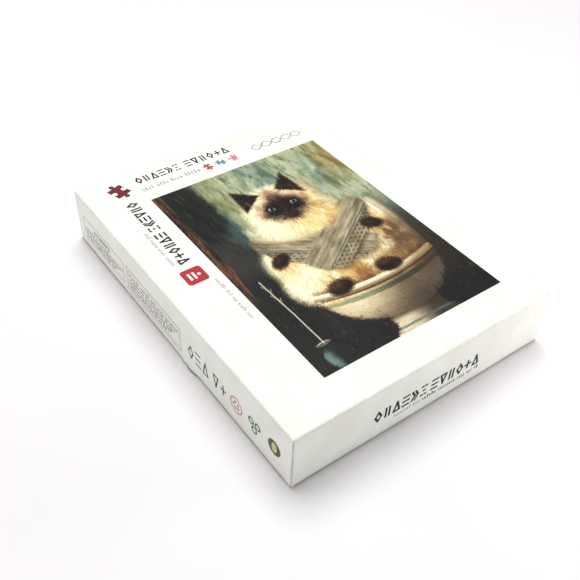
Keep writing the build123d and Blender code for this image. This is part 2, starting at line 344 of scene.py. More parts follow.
class Picture:
    """The picture while it is painted: colours, the brush's direction and how much detail is kept."""

    def __init__(self):
        across = (np.arange(PICTURE_CELLS) + 0.5) / PICTURE_CELLS
        up = (np.arange(round(PICTURE_CELLS * PICTURE_TALL)) + 0.5) / PICTURE_CELLS
        self.x, self.y = np.meshgrid(across, up)
        self.colour = np.zeros(self.x.shape + (3,))
        self.direction = np.zeros(self.x.shape)
        self.detail = np.zeros(self.x.shape)
        self.hair = np.zeros(self.x.shape)
        self.wobble = fractal(self.x, self.y, 0.09, 5) - 0.5
        self.fur = fractal(self.x, self.y, 0.03, 31, 1.6)
        self.rise = 0.05 * ((self.x - BOWL_MIDDLE) / 0.34) ** 2  # of the bowl's rim towards its sides

    def lay(self, mask, colour, direction=None, detail=None, hair=None):
        """Colour over what is there, and set the brush where the mask is strong."""
        self.colour += mask[..., None] * (tone(colour) - self.colour)
        strong = mask > 0.5
        for field, value in ((self.direction, direction), (self.detail, detail), (self.hair, hair)):
            if value is not None:
                field[strong] = value[strong] if isinstance(value, np.ndarray) else value

    def spot(
        self, centre, reach, colour, strength=1, turn=0, soft=0.02, fur=None, detail=None, direction=None,
    ):
        """A soft ellipse of one colour; fur is the range of the fur's noise that it shows on."""
        mask = rounded(self.x, self.y, centre, reach, turn, soft)
        if fur:
            mask = mask * smooth(self.fur, *fur)
        self.lay(strength * mask, colour, direction, detail)

    def line(self, points, width, colour, strength, soft=0.004, detail=None, direction=None):
        self.lay(strength * line_mask(self.x, self.y, points, width, soft), colour, direction, detail)

    def streaks(self, size, seed, stretch, low, high, lean=0.0):
        """Mask of long streaks of noise, leaning off the vertical."""
        return smooth(fractal(self.x + lean * self.y, self.y, size, seed, stretch), low, high)

    def wall(self):
        """Mottled sage wall, dark on the left and towards the floor, with a brown post at the left edge."""
        x, y = self.x, self.y
        shifted = x + 0.05 * self.wobble
        patches = fractal(x, y, 0.14, 21, 2.2)
        strokes = fractal(x, y, 0.035, 22, 3.0)
        blots = fractal(x, y, 0.05, 23)
        colour = between((126, 145, 130), (166, 170, 144), smooth(patches, 0.32, 0.68))
        self.lay(np.ones_like(x), colour, math.pi / 2 + 0.7 * self.wobble, 0.3, 0.0)
        self.lay(0.6 * smooth(strokes, 0.5, 0.8) * smooth(y, 0.6, 1.2), (178, 182, 158))
        self.lay(0.6 * smooth(blots, 0.55, 0.8), (104, 118, 84))
        scratches = self.streaks(0.01, 29, 9.0, 0.6, 0.72, 0.04) * smooth(y, 0.7, 0.9)
        self.lay(0.45 * scratches, (92, 110, 92))
        warm = smooth(shifted, 0.82, 0.92) * smooth(y, 0.92, 1.15)
        self.lay(warm * (0.45 + 0.55 * strokes), (152, 134, 88))
        self.lay(0.8 * smooth(0.42 - shifted, 0, 0.12) * smooth(y, 0.8, 1.2) * blots, (130, 124, 80))
        self.lay(smooth(0.92 - y, 0, 0.34), (66, 76, 68))
        self.lay(smooth(0.66 - y, 0, 0.32), (44, 42, 42))
        shadow = smooth(0.235 - shifted - 0.02 * np.sin(5 * y), 0, 0.05)
        grey = between((30, 33, 31), (58, 58, 54), smooth(1.0 - y, 0, 0.12) * smooth(y, 0.55, 0.7))
        self.lay(shadow * (0.86 + 0.14 * strokes), grey)
        teal = smooth(patches, 0.45, 0.7) * smooth(0.27 - shifted, 0, 0.05) * smooth(y, 0.55, 0.95)
        self.lay(0.75 * teal * smooth(shifted, 0.13, 0.2), (72, 98, 96))
        flecks = self.streaks(0.014, 34, 5.0, 0.55, 0.72, 0.1) * smooth(shifted, 0.07, 0.11)
        self.lay(0.4 * flecks * shadow * smooth(y, 0.7, 0.95), (96, 108, 100))
        post = smooth(0.055 - x - 0.016 * self.wobble, 0, 0.008) * smooth(y, 0.44, 0.6)
        splinters = smooth(fractal(x + 0.01 * self.wobble, y, 0.011, 24, 11.0), 0.22, 0.64)
        self.lay(post, between((42, 35, 31), (110, 80, 62), splinters))
        rust = self.streaks(0.013, 30, 6.0, 0.55, 0.75) * smooth(0.035 - x, 0, 0.012)
        self.lay(0.5 * rust * post, (124, 76, 54))
        self.lay(0.8 * self.streaks(0.007, 33, 16.0, 0.56, 0.66) * post, (34, 29, 27))
        self.lay(smooth(0.2 + 0.04 * self.wobble - y, 0, 0.12), (38, 35, 36))
        dabs = self.streaks(0.014, 26, 1.3, 0.72, 0.8) * smooth(0.7 - y, 0, 0.3)
        self.lay(dabs, self.colour * 0.5 + tone((96, 92, 76)) * 0.5)
        scrapes = self.streaks(0.03, 27, 5.0, 0.58, 0.75, 0.25)
        self.lay(0.55 * scrapes * smooth(y, 0.7, 0.9), self.colour * 0.66)
        pale = self.streaks(0.04, 28, 2.5, 0.55, 0.75, -0.2) * smooth(y, 0.75, 1.0)
        self.lay(0.5 * pale * smooth(shifted, 0.32, 0.4), (176, 188, 166))

    def pillow(self):
        """Plump ticking pillow behind the cat, on the right."""
        x, y = self.x, self.y
        bulge = 0.02 * np.sin((y - 0.38) / 0.46 * math.pi)
        outline = [(0.78, 0.36), (0.915, 0.37), (0.922, 0.60), (0.945, 0.84), (0.80, 0.85)]
        mask = shape_mask(x - bulge + 0.015 * self.wobble, y + 0.012 * np.sin(18 * (x - 0.8)), outline)
        shade = np.clip(smooth(x, 0.88, 0.97) + 0.35 * smooth(0.5 - y, 0, 0.14), 0, 1)
        colour = between((232, 220, 188), (96, 86, 70), shade)
        for stripe in range(4):
            ends = [(0.812 + 0.033 * stripe, 0.36), (0.818 + 0.036 * stripe, 0.86)]
            colour = between(colour, (98, 112, 102), 0.5 * line_mask(x - bulge, y, ends, 0.003))
        self.lay(mask, colour, math.pi / 2 - 0.1, 0.45, 0.0)

    def vase(self):
        """Small teal vase with one dry stem, in the dark corner."""
        x, y = self.x, self.y
        body = np.maximum(
            rounded(x, y, (0.112, 0.07), (0.046, 0.068), soft=0.008),
            shape_mask(x, y, [(0.09, 0.1), (0.136, 0.1), (0.142, 0.15), (0.082, 0.15)], 0.006),
        )
        glaze = between((112, 132, 126), (28, 38, 40), smooth(x + 0.02 * self.wobble, 0.085, 0.14))
        self.lay(body, between(glaze, (38, 46, 46), smooth(y, 0.085, 0.13)), 1.5, 0.5, 0.0)
        self.spot((0.112, 0.151), (0.034, 0.01), (190, 188, 172), soft=0.004, detail=0.9, direction=0.0)
        self.spot((0.113, 0.149), (0.024, 0.005), (40, 42, 42), soft=0.004, detail=0.9, direction=0.0)
        stem = [(0.115, 0.15), (0.112, 0.35), (0.1, 0.60)]
        self.line(stem, 0.0032, (206, 202, 186), 0.9, 0.003, 0.95, 1.57)
        for twig in range(4):
            foot = (0.108 - 0.002 * twig, 0.44 + 0.035 * twig)
            tip = (foot[0] + 0.013 * (-1) ** twig, foot[1] + 0.026)
            self.line([foot, tip], 0.0025, (176, 168, 142), 0.8, 0.003, 0.9, 1.2)

    def bowl(self):
        """Footed stoneware bowl with a glazed band."""
        x, y = self.x, self.y
        side = np.abs(x - BOWL_MIDDLE)
        foot = smooth(0.15 + 0.05 * smooth(0.06 - y, 0, 0.08) - side, 0, 0.02) * smooth(0.14 - y, 0, 0.02)
        colour = between((206, 194, 164), (74, 66, 56), smooth(x, 0.49, 0.66))
        colour = between(colour, (64, 52, 42), 0.8 * smooth(y, 0.065, 0.11))
        colour = between(colour, (96, 112, 104), 0.7 * smooth(0.010 - np.abs(y - 0.032), 0, 0.006))
        self.lay(foot, colour, 0.0, 0.4, 0.0)
        body = rounded(x, y, (BOWL_MIDDLE, 0.36), (BOWL_REACH, 0.27), soft=0.01)
        turn = (x - BOWL_MIDDLE) / BOWL_REACH
        light = np.clip(0.96 - 0.68 * smooth(turn, -0.6, 0.35) - 0.2 * smooth(-turn, 0.7, 1.0), 0, 1)
        colour = between((60, 52, 44), (222, 206, 170), light * (0.42 + 0.58 * smooth(y, 0.09, 0.25)))
        glaze = smooth(0.017 - np.abs(y - 0.265 - self.rise), 0, 0.006)
        colour = between(colour, colour * tone((158, 178, 168)), 0.85 * glaze)
        self.lay(body * smooth(0.33 + self.rise - y, 0, 0.02), colour, 0.5 * turn, 0.4, 0.0)

    def coat(self, centre, reach, turn=0.0, shade=0.0, soft=0.03):
        """A rounded mass of cream fur, lit from the upper left."""
        x, y = self.x, self.y
        across = (x - centre[0]) / reach[0]
        up = (y - centre[1]) / reach[1]
        dark = np.clip(0.36 + 0.36 * across - 0.42 * up + shade + 0.4 * (self.fur - 0.5), 0, 1)
        colour = between((252, 238, 194), (222, 192, 134), smooth(dark, 0.25, 0.8))
        colour = between(colour, (120, 84, 54), 0.8 * smooth(dark, 0.75, 1.1))
        outward = np.arctan2(y - centre[1] - 0.1, x - centre[0])
        self.lay(rounded(x, y, centre, reach, turn, soft), colour, outward, 0.15, 1.0)

    def dark_fur(self, mask, strength=0.7):
        """Dark brown fur of the ears and paws."""
        colour = between((34, 25, 24), (84, 58, 42), strength * smooth(self.fur, 0.45, 0.8))
        self.lay(mask, colour, None, 0.35, 1.0)

    def body(self):
        self.coat((0.54, 0.62), (0.31, 0.32), shade=0.12)
        self.coat((0.33, 0.47), (0.165, 0.165), 12)
        self.coat((0.73, 0.47), (0.175, 0.165), -12, 0.08)
        self.spot((0.53, 0.42), (0.05, 0.09), (164, 124, 78), 0.7, soft=0.04)
        self.coat((0.255, 0.66), (0.075, 0.12), -18, 0.02)
        self.coat((0.80, 0.66), (0.08, 0.13), 18, 0.2)
        self.spot((0.83, 0.5), (0.12, 0.15), (96, 68, 50), 0.6, -20, 0.09, (0.15, 0.7))
        self.spot((0.89, 0.42), (0.13, 0.17), (70, 56, 46), 0.62, -15, 0.1)
        self.spot((0.54, 0.4), (0.2, 0.07), (124, 88, 58), 0.6, 0, 0.05, (0.3, 0.6))

    def shawl(self):
        """Knitted shawl round the shoulders, its two ends crossed over the chest, with a fringe."""
        x = self.x + 0.018 * self.wobble
        y = self.y + 0.018 * (fractal(self.x, self.y, 0.06, 44) - 0.5)
        left_end = [(0.20, 0.82), (0.235, 0.875), (0.33, 0.88), (0.50, 0.775), (0.76, 0.585), (0.70, 0.50),
                    (0.60, 0.475), (0.26, 0.66)]
        right_end = [(0.875, 0.83), (0.84, 0.885), (0.75, 0.885), (0.59, 0.775), (0.34, 0.60), (0.40, 0.505),
                     (0.50, 0.47), (0.82, 0.67)]
        for outline, slope in ((left_end, -0.66), (right_end, 0.68)):
            self.lay(0.6 * shape_mask(x - 0.006, y + 0.014, outline, 0.02), (60, 46, 36))
            across = self.y - slope * self.x
            folds = fractal(self.x, across, 0.05, 47, 0.5)
            knit = 0.5 + 0.5 * np.sin(across * 210)
            light = 0.42 + 0.7 * (folds - 0.35) + 0.12 * knit - 0.3 * smooth(np.abs(x - 0.55), 0.2, 0.36)
            colour = between((80, 73, 62), (196, 185, 156), np.clip(light, 0, 1))
            edge = outline[0][1] - slope * outline[0][0]
            for offset in (-0.045, -0.028, -0.175):
                stripe = smooth(0.006 - np.abs(across - edge - offset), 0, 0.004)
                colour = between(colour, (76, 84, 78), 0.6 * stripe)
            along = self.x + slope * self.y
            row = np.floor((across - edge) / 0.021)
            motif = (np.abs(row + 4.5) < 2) * smooth(np.sin(along * 150 + 2.1 * row), 0.1, 0.5)
            within = smooth(0.0075 - np.abs(across - edge - 0.021 * (row + 0.5)), 0, 0.003)
            colour = between(colour, (72, 66, 58), 0.72 * motif * within)
            self.lay(shape_mask(x, y, outline, 0.008), colour, math.atan(slope), 0.62, 0.0)
        for paw, turn in (((0.262, 0.655), 35), ((0.80, 0.655), -35)):
            self.dark_fur(rounded(x, y, paw, (0.058, 0.04), turn, 0.014))
            patch = rounded(x, y, (paw[0] - 0.008, paw[1] + 0.014), (0.032, 0.014), turn, 0.014)
            self.lay(0.6 * patch, (96, 66, 48))
        for strand in range(15):
            start = (0.40 + 0.024 * strand, 0.497 + 0.4 * abs(0.024 * strand - 0.16) ** 1.2)
            end = (start[0] + 0.005 * (-1) ** strand, start[1] - 0.045)
            self.line([start, end], 0.004, (150, 138, 112), 0.8, detail=0.5, direction=-1.5)

    def rim(self):
        """The bowl's thick rim in front of the haunches, with the dark hind paws resting on it."""
        x, y = self.x, self.y
        above = y - (RIM_HEIGHT + self.rise)
        side = np.abs(x - BOWL_MIDDLE)
        shade = smooth(0.02 - np.abs(above - 0.03), 0, 0.02) * smooth(0.35 - side, 0, 0.04)
        self.lay(0.6 * shade, (92, 66, 44))
        light = smooth(above, -0.02, 0.012) * (1 - 0.75 * smooth(x, 0.6, 0.88))
        band = smooth(0.024 - np.abs(above), 0, 0.008) * smooth(0.351 - side, 0, 0.012)
        colour = between((126, 108, 80), (246, 237, 208), light)
        self.lay(band, colour, 0.4 * (x - BOWL_MIDDLE), 0.6, 0.0)
        groove = smooth(0.008 - np.abs(above + 0.026), 0, 0.006) * smooth(BOWL_REACH - side, 0, 0.02)
        self.lay(0.85 * groove, (70, 52, 40), None, 0.6)
        for paw, turn in (((0.385, 0.375), 8), ((0.665, 0.378), -8)):
            self.dark_fur(rounded(x, y, paw, (0.066, 0.045), turn, 0.012))
            self.spot((paw[0] - 0.01, paw[1] + 0.022), (0.045, 0.018), (98, 68, 50), 0.8, turn, 0.016)
            for toe in (-0.03, 0.0, 0.03):
                claw = [(paw[0] + toe, paw[1] - 0.038), (paw[0] + 0.9 * toe, paw[1] - 0.014)]
                self.line(claw, 0.003, (22, 14, 12), 0.6, detail=0.7)

    def head(self):
        self.coat((0.505, 0.88), (0.235, 0.135), shade=-0.12, soft=0.035)
        self.coat((0.51, 1.0), (0.205, 0.185), shade=-0.1, soft=0.025)
        self.spot((0.69, 0.95), (0.05, 0.13), (176, 132, 88), 0.55, -12, 0.06, (0.25, 0.6))
        self.spot((0.515, 1.13), (0.09, 0.035), (196, 156, 112), 0.45, 0, 0.03, (0.3, 0.6))
        for side, tip in ((-1, (0.345, 1.235)), (1, (0.665, 1.25))):
            inner = (0.51 + 0.05 * side, 1.135)
            outer = (0.51 + 0.175 * side, 1.04)
            self.dark_fur(shape_mask(self.x, self.y, [inner, tip, outer], 0.01), 0.5)
            hollow = [(inner[0] + 0.03 * side, 1.12), (tip[0] - 0.018 * side, tip[1] - 0.05),
                      (outer[0] - 0.02 * side, 1.07)]
            self.lay(0.8 * shape_mask(self.x, self.y, hollow, 0.012), (28, 21, 22), math.pi / 2)
            tuft = (0.51 + 0.125 * side, 1.095)
            self.spot(tuft, (0.014, 0.04), (176, 150, 116), 0.5, -14 * side, 0.012, (0.35, 0.6))

    def face(self):
        """Dark mask, muzzle, nose and pale blue-grey eyes."""
        x, y = self.x, self.y
        mask = rounded(x, y, (FACE_MIDDLE, 0.985), (0.128, 0.09), 0, 0.04)
        mask = np.maximum(mask, 0.92 * rounded(x, y, (FACE_MIDDLE, 1.055), (0.05, 0.08), 0, 0.035))
        mask = np.maximum(mask, 0.95 * rounded(x, y, (FACE_MIDDLE, 0.94), (0.085, 0.062), 0, 0.035))
        ragged = np.clip(mask + 0.5 * (self.fur - 0.5) * (mask > 0.05) * (mask < 0.95), 0, 1)
        outward = np.hypot((x - FACE_MIDDLE) / 0.12, (y - 0.98) / 0.09)
        self.lay(ragged, between((24, 19, 20), (66, 42, 34), smooth(outward, 0.45, 1.15)), None, 0.55, 0.6)
        self.spot((FACE_MIDDLE, 1.0), (0.02, 0.05), (84, 62, 52), 0.4, detail=0.8)
        self.spot((0.492, 0.938), (0.03, 0.024), (84, 64, 54), 0.7, soft=0.016, detail=0.85)
        self.spot((0.541, 0.938), (0.03, 0.024), (72, 54, 46), 0.7, soft=0.016, detail=0.85)
        dark = (16, 11, 12)
        self.spot((0.516, 0.962), (0.017, 0.011), (20, 15, 17), soft=0.006, detail=0.95)
        mouth = [(0.492, 0.926), (0.503, 0.928), (0.516, 0.936), (0.529, 0.928), (0.541, 0.926)]
        self.line(mouth, 0.0028, dark, 0.85, 0.003, 0.95)
        self.line([(0.516, 0.936), (0.516, 0.954)], 0.0028, dark, 0.85, 0.003)
        self.spot((0.512, 0.966), (0.006, 0.003), (130, 126, 130), 0.7, soft=0.003)
        for side in (-1, 1):
            eye_x, eye_y = FACE_MIDDLE + 0.065 * side, 1.003
            self.spot((eye_x, eye_y), (0.031, 0.021), dark, 1, 10 * side, 0.006, detail=1.0)
            self.spot((eye_x, eye_y), (0.022, 0.0145), (96, 108, 108), 1, 10 * side, 0.005, detail=1.0)
            self.spot((eye_x, eye_y - 0.008), (0.015, 0.006), (136, 148, 142), 0.7, 10 * side, 0.006)
            self.spot((eye_x, eye_y), (0.009, 0.0138), (8, 8, 10), soft=0.004)
            self.spot((eye_x - 0.008, eye_y + 0.007), (0.004, 0.004), (206, 212, 208), soft=0.003)
        for side in (-1, 1):
            for whisker in range(3):
                start = (FACE_MIDDLE + 0.045 * side, 0.94 - 0.008 * whisker)
                end = (FACE_MIDDLE + 0.19 * side, 0.955 - 0.035 * whisker)
                self.line([start, end], 0.0016, (236, 226, 204), 0.45, 0.0022, 0.8)

    def brush(self, count, length, width, uneven, seed, share, opacity=0.85):
        """Strokes that carry the design's colours; length and width in thousandths of the picture."""
        draw = np.random.default_rng(seed)
        rows, columns = self.x.shape
        hairs = draw.random(64)
        cell = PICTURE_CELLS / 1000
        for _ in range(count):
            row = int(draw.random() * rows)
            column = int(draw.random() * columns)
            chance = draw.random(6)
            if chance[5] > share[row, column]:
                continue
            half_long = length * cell * (0.3 + 0.4 * chance[0])
            half_wide = width * cell * (0.3 + 0.4 * chance[1])
            angle = self.direction[row, column] + (chance[2] - 0.5) * 0.5
            cast = (chance[4] - 0.5) * 0.03 * np.array((1, 0.2, -1))
            colour = self.design[row, column] * (1 + (chance[3] - 0.5) * uneven) + cast
            reach = int(half_long + half_wide + 2)
            low_row, high_row = max(row - reach, 0), min(row + reach + 1, rows)
            low_column, high_column = max(column - reach, 0), min(column + reach + 1, columns)
            up = np.arange(low_row, high_row)[:, None] - row
            over = np.arange(low_column, high_column)[None, :] - column
            along = over * math.cos(angle) + up * math.sin(angle)
            bend = 0.12 * along * along / half_long * (chance[2] - 0.5)
            across = up * math.cos(angle) - over * math.sin(angle) + bend
            taper = half_wide * (1 - 0.35 * along / half_long)
            mask = np.clip(half_long - np.abs(along) + 0.5, 0, 1)
            mask = mask * np.clip(taper - np.abs(across) + 0.5, 0, 1)
            hair = hairs[(np.abs(across * 2.3 + row).astype(int)) % 64][..., None]
            patch = self.colour[low_row:high_row, low_column:high_column]
            patch += mask[..., None] * (opacity - 0.35 * hair) * (colour * (0.94 + 0.12 * hair) - patch)

    def finish(self):
        """Brush the design over from broad to fine, then bring back the detail that each part keeps."""
        self.design = self.colour.copy()
        open_wall = (self.detail < 0.35) & (self.hair < 0.5)
        loose = 1 - 0.85 * smooth(self.detail, 0.3, 0.9)
        self.brush(2600, 85, 20, 0.24, 1, 1.0 * open_wall)
        self.brush(5200, 45, 11.5, 0.22, 2, 0.15 + 0.85 * open_wall)
        self.brush(9000, 32, 6.5, 0.3, 3, loose)
        self.brush(9500, 27, 4.0, 0.38, 4, 0.9 * self.hair * loose)
        keep = np.clip(0.12 + 0.85 * self.detail, 0, 0.95)
        self.colour += keep[..., None] * (self.design - self.colour)
        near = sum(np.roll(self.colour, shift, axis) for axis in (0, 1) for shift in (-2, -1, 1, 2)) / 8
        self.colour = np.clip(self.colour + 0.6 * (self.colour - near), 0.05, 1)
        self.colour += 0.05 * np.sin(2 * math.pi * (self.colour - 0.5))
        grain = np.random.default_rng(9).random(self.x.shape)
        self.colour *= (0.97 + 0.06 * grain)[..., None]
        return np.clip(self.colour, 0, 1)


def paint_picture():
    """The finished picture as rows of display colours, bottom row first."""
    picture = Picture()
    for paint_part in (
        picture.wall, picture.pillow, picture.vase, picture.bowl, picture.body,
        picture.shawl, picture.rim, picture.head, picture.face,
    ):
        paint_part()
    return picture.finish()


# ---------------------------------------------------------------- meshes

def new_mesh(name, points, faces):
    mesh = bpy.data.meshes.new(name)
    mesh.from_pydata([tuple(point) for point in points], [], faces)
    return mesh


def add_piece(name, mesh, materials, body, smooth_shaded=False):
    """An object for the mesh, riding that body."""
    mesh.polygons.foreach_set("use_smooth", [smooth_shaded] * len(mesh.polygons))
    for material in materials:
        mesh.materials.append(material)
    piece = bpy.data.objects.new(name, mesh)
    bpy.context.scene.collection.objects.link(piece)
    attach(piece, body)
    return piece


def clean(mesh):
    """Merge the mesh's doubled points and turn its faces outwards."""
    shape = bmesh.new()
    shape.from_mesh(mesh)
    bmesh.ops.remove_doubles(shape, verts=shape.verts, dist=1e-7)
    bmesh.ops.recalc_face_normals(shape, faces=shape.faces)
    shape.to_mesh(mesh)
    shape.free()
    return mesh


def thicken(piece, thickness, inner_material=0):
    """Give an open sheet its thickness, on its inner side."""
    solid = piece.modifiers.new("thickness", "SOLIDIFY")
    solid.thickness = thickness
    solid.offset = -1
    solid.use_even_offset = True
    solid.material_offset = inner_material
    solid.material_offset_rim = inner_material


def grid_faces(rows, columns):
    """Quads between rows of points."""
    corners = (np.arange(rows - 1)[:, None] * columns + np.arange(columns - 1)).ravel()
    return np.stack([corners, corners + 1, corners + 1 + columns, corners + columns], axis=1).tolist()


def ring_faces(start, rings, size):
    """Quads between closed rings of that many points, which begin with point start."""
    faces = []
    for ring in range(rings - 1):
        for index in range(size):
            here = start + ring * size + index
            following = start + ring * size + (index + 1) % size
            faces.append((here, here + size, following + size, following))
    return faces


def coordinates(mesh):
    """The mesh's vertices as rows of x, y, z."""
    values = np.empty(len(mesh.vertices) * 3)
    mesh.vertices.foreach_get("co", values)
    return values.reshape(-1, 3)


def set_colours(mesh, colours):
    """Write linear colours per vertex into the attribute that the printed materials read."""
    attribute = mesh.color_attributes.new("picture", "FLOAT_COLOR", "POINT")
    linear = np.where(colours <= 0.04045, colours / 12.92, ((colours + 0.055) / 1.055) ** 2.4)
    flat = np.concatenate([linear, np.ones((len(linear), 1))], axis=1)
    attribute.data.foreach_set("color", flat.astype(np.float32).ravel())


def blended(grid, column, row):
    """Values of a grid of rows at fractional columns and rows."""
    column = np.clip(column, 0, grid.shape[1] - 1.001)
    row = np.clip(row, 0, grid.shape[0] - 1.001)
    left, low = column.astype(int), row.astype(int)
    right_share, high_share = (column - left)[:, None], (row - low)[:, None]
    bottom = grid[low, left] * (1 - right_share) + grid[low, left + 1] * right_share
    top = grid[low + 1, left] * (1 - right_share) + grid[low + 1, left + 1] * right_share
    return bottom * (1 - high_share) + top * high_share


def sample(picture, across, up):
    """Colours of the picture at shares of its width and height."""
    rows, columns = picture.shape[:2]
    return blended(picture, across * columns - 0.5, up * rows - 0.5)


# ---------------------------------------------------------------- the lid's surface

EDGE_RADIUS = 0.9 * MM
CROWN = 0.4 * MM  # rise of the top panel's middle
CROWN_RIPPLE = 0.12 * MM  # unevenness of that rise
BOW = 0.35 * MM  # most that a skirt stands off its board
BOW_RIPPLE = 0.14 * MM  # unevenness of a skirt
FLAP_REACH = 9 * MM  # of the paper flaps folded under the end faces
FLAP_STEP = 0.12 * MM
LID_WALL = 2 * MM  # paper, board and turned-in paper
TURN_IN = 18 * MM
WEAR_REACH = 2.4 * MM  # of the rubbed paper from an edge
RIM_SHADE_REACH = 1.1 * MM  # of the painted shade up from the rim
FOLD_REACH = 0.62 * MM  # of the darker line from a corner
BURR_FROM, BURR_TO = LID_LOW[1] + 0.368 * LENGTH, LID_LOW[1] + 0.449 * LENGTH
BURR_OUT = 1.8 * MM
BURR_DOWN = 0.7 * MM
BURR_TALL = 3.5 * MM


def crown(x, y):
    """Rise of the top panel above its edges."""
    share = np.clip((1 - (x / HALF_WIDTH) ** 2) * (1 - (y / HALF_LENGTH) ** 2), 0, 1)
    return share * (CROWN + CROWN_RIPPLE * (value_noise(x, y, 0.045, 61) - 0.5))


def burr(y, z):
    """Share of the frayed burr on the left skirt's rim."""
    middle = (BURR_FROM + BURR_TO) / 2
    along = np.clip(1 - np.abs(y - middle) / (BURR_TO - BURR_FROM) * 2, 0, 1)
    ragged = 0.7 + 0.3 * np.sin(y / (1.3 * MM)) * np.sin(y / (3.1 * MM))
    return smooth(along, 0, 0.5) * ragged * np.clip((RIM + BURR_TALL - z) / BURR_TALL, 0, 1) ** 1.5


def bow(end_face, along, z, side):
    """How far a skirt's paper stands out: the end faces also show their folded flaps."""
    half = HALF_WIDTH if end_face else HALF_LENGTH
    depth = np.clip((TOP - z) / (TOP - RIM), 0, 1)
    held = np.clip(1 - (along / half) ** 2, 0, 1)
    waves = value_noise(along + 0.3 * side, z, 0.028, 63 + end_face) - 0.5
    out = BOW * held * np.sin(0.75 * math.pi * depth)
    out = out + BOW_RIPPLE * waves * smooth(depth, 0, 0.25) * held**0.3
    if end_face:
        raised = smooth(np.abs(along), half - FLAP_REACH - 0.5 * MM, half - FLAP_REACH + 0.5 * MM)
        out = out + FLAP_STEP * raised * smooth(depth, 0.02, 0.1)
    elif side < 0:
        out = out + BURR_OUT * burr(along, z)
    return out


def on_lid(face, u, v, lift):
    """Points on the lid: u and v from its near left top corner, v downwards on the side faces."""
    if face == "top":
        x, y = LID_LOW[0] + u, LID_LOW[1] + v
        return np.stack([x, y, TOP + crown(x, y) + lift], axis=-1)
    z = TOP - v
    if face == "left":
        y = LID_LOW[1] + u
        return np.stack([LID_LOW[0] - bow(False, y, z, -1) - lift, y, z], axis=-1)
    x = LID_LOW[0] + u
    return np.stack([x, LID_LOW[1] - bow(True, x, z, -1) - lift, z], axis=-1)


def stations(half, near_edge):
    """Places along one side of the top panel, closer together near its corners."""
    inner = half - EDGE_RADIUS
    places = list(np.linspace(-inner, inner, 2 * round(half / (2.5 * MM)) + 1))
    for offset in near_edge:
        places += [offset - inner, inner - offset]
    return np.unique(np.round(places, 7))


def lid_profile():
    """Outward offset and height of each ring, from the top panel's edge to the end of the turned-in paper."""
    rings = []
    for step in range(5):
        angle = math.radians(22.5 * step)
        rings.append((EDGE_RADIUS * math.sin(angle), TOP - EDGE_RADIUS * (1 - math.cos(angle))))
    wall = rings[-1][1]
    for share in np.linspace(0, 1, 17)[1:-1]:
        rings.append((EDGE_RADIUS, wall + (RIM + 4 * MM - wall) * share))
    for above in (4, 3, 2, 1.2, 0.6, 0.2):
        rings.append((EDGE_RADIUS, RIM + above * MM))
    rings.append((EDGE_RADIUS - 0.2 * MM, RIM))
    rings.append((EDGE_RADIUS - LID_WALL + 0.2 * MM, RIM))
    for above in (0.2, 1, 4, 9, 14, TURN_IN / MM):
        rings.append((EDGE_RADIUS - LID_WALL, RIM + above * MM))
    return rings


def outline_stations(across, along):
    """Places and outward directions round the top panel's inner rectangle, with a fan at each corner."""
    half_x, half_y = across[-1], along[-1]
    walk = [(x, -half_y, -90) for x in across] + [(half_x, y, 0) for y in along]
    walk += [(x, half_y, 90) for x in across[::-1]] + [(-half_x, y, 180) for y in along[::-1]]
    result = []
    for index, (x, y, angle) in enumerate(walk):
        result.append((x, y, angle))
        following = walk[(index + 1) % len(walk)]
        if (following[0], following[1]) == (x, y):
            result += [(x, y, angle + 22.5 * step) for step in (1, 2, 3)]
    return result


def mark_wear_and_rim_shade(mesh):
    """How worn the lid's paper is near its edges, with a darker line down its folded corners and painted
    shade at its rim.
    """
    x, y, z = coordinates(mesh).T
    from_side = HALF_WIDTH - np.abs(x)
    from_end = HALF_LENGTH - np.abs(y)
    from_corner = np.hypot(from_side, from_end)
    to_edge = np.minimum(np.maximum(np.minimum(from_side, from_end), TOP - z), from_corner)
    wear = 1 - smooth(np.minimum(to_edge, z - RIM), 0.4 * MM, WEAR_REACH)
    # a darker line down each vertical corner
    fold = 0.38 * (from_corner < FOLD_REACH) * smooth(TOP - z, 0.5 * MM, 2 * MM)
    # painted shade along the bottom rim
    rim_shade_and_corner_line = np.maximum(fold, 0.95 * (1 - smooth(z - RIM, 0.25 * MM, RIM_SHADE_REACH)))
    for name, values in (("rim_shade_and_corner_line", rim_shade_and_corner_line), ("wear", wear)):
        attribute = mesh.attributes.new(name, "FLOAT", "POINT")
        attribute.data.foreach_set("value", values.astype(np.float32))


def make_lid_paper():
    """The lid's printed wrap: one sheet over the top, down the skirts, round the rim and up inside."""
    across = stations(HALF_WIDTH, (FLAP_REACH - 1.4 * MM, FLAP_REACH - 0.4 * MM, 0.4 * MM, 1 * MM))
    along = stations(HALF_LENGTH, (0.4 * MM, 1 * MM))
    half_x, half_y = across[-1], along[-1]
    points = [(x, y, TOP + float(crown(x, y))) for y in along for x in across]
    outline = outline_stations(across, along)
    profile = lid_profile()
    faces = grid_faces(len(along), len(across)) + ring_faces(len(points), len(profile), len(outline))
    for offset, z in profile:
        for x, y, angle in outline:
            if offset < 0:
                points.append((x * (half_x + offset) / half_x, y * (half_y + offset) / half_y, z))
                continue
            out_x, out_y = math.cos(math.radians(angle)), math.sin(math.radians(angle))
            out = float(bow(False, y, z, np.sign(out_x))) * abs(out_x)
            out = offset + (out + float(bow(True, x, z, out_y)) * abs(out_y))
            droop = BURR_DOWN * float(burr(y, z)) * (out_x < -0.9)
            points.append((x + out * out_x, y + out * out_y, z - droop))
    mesh = clean(new_mesh("lid_paper", points, faces))
    mark_wear_and_rim_shade(mesh)
    piece = add_piece("lid_paper", mesh, [coated_paper()], "lid", True)
    thicken(piece, PAPER)
    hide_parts("lid_wrap")


# ---------------------------------------------------------------- the lid's print

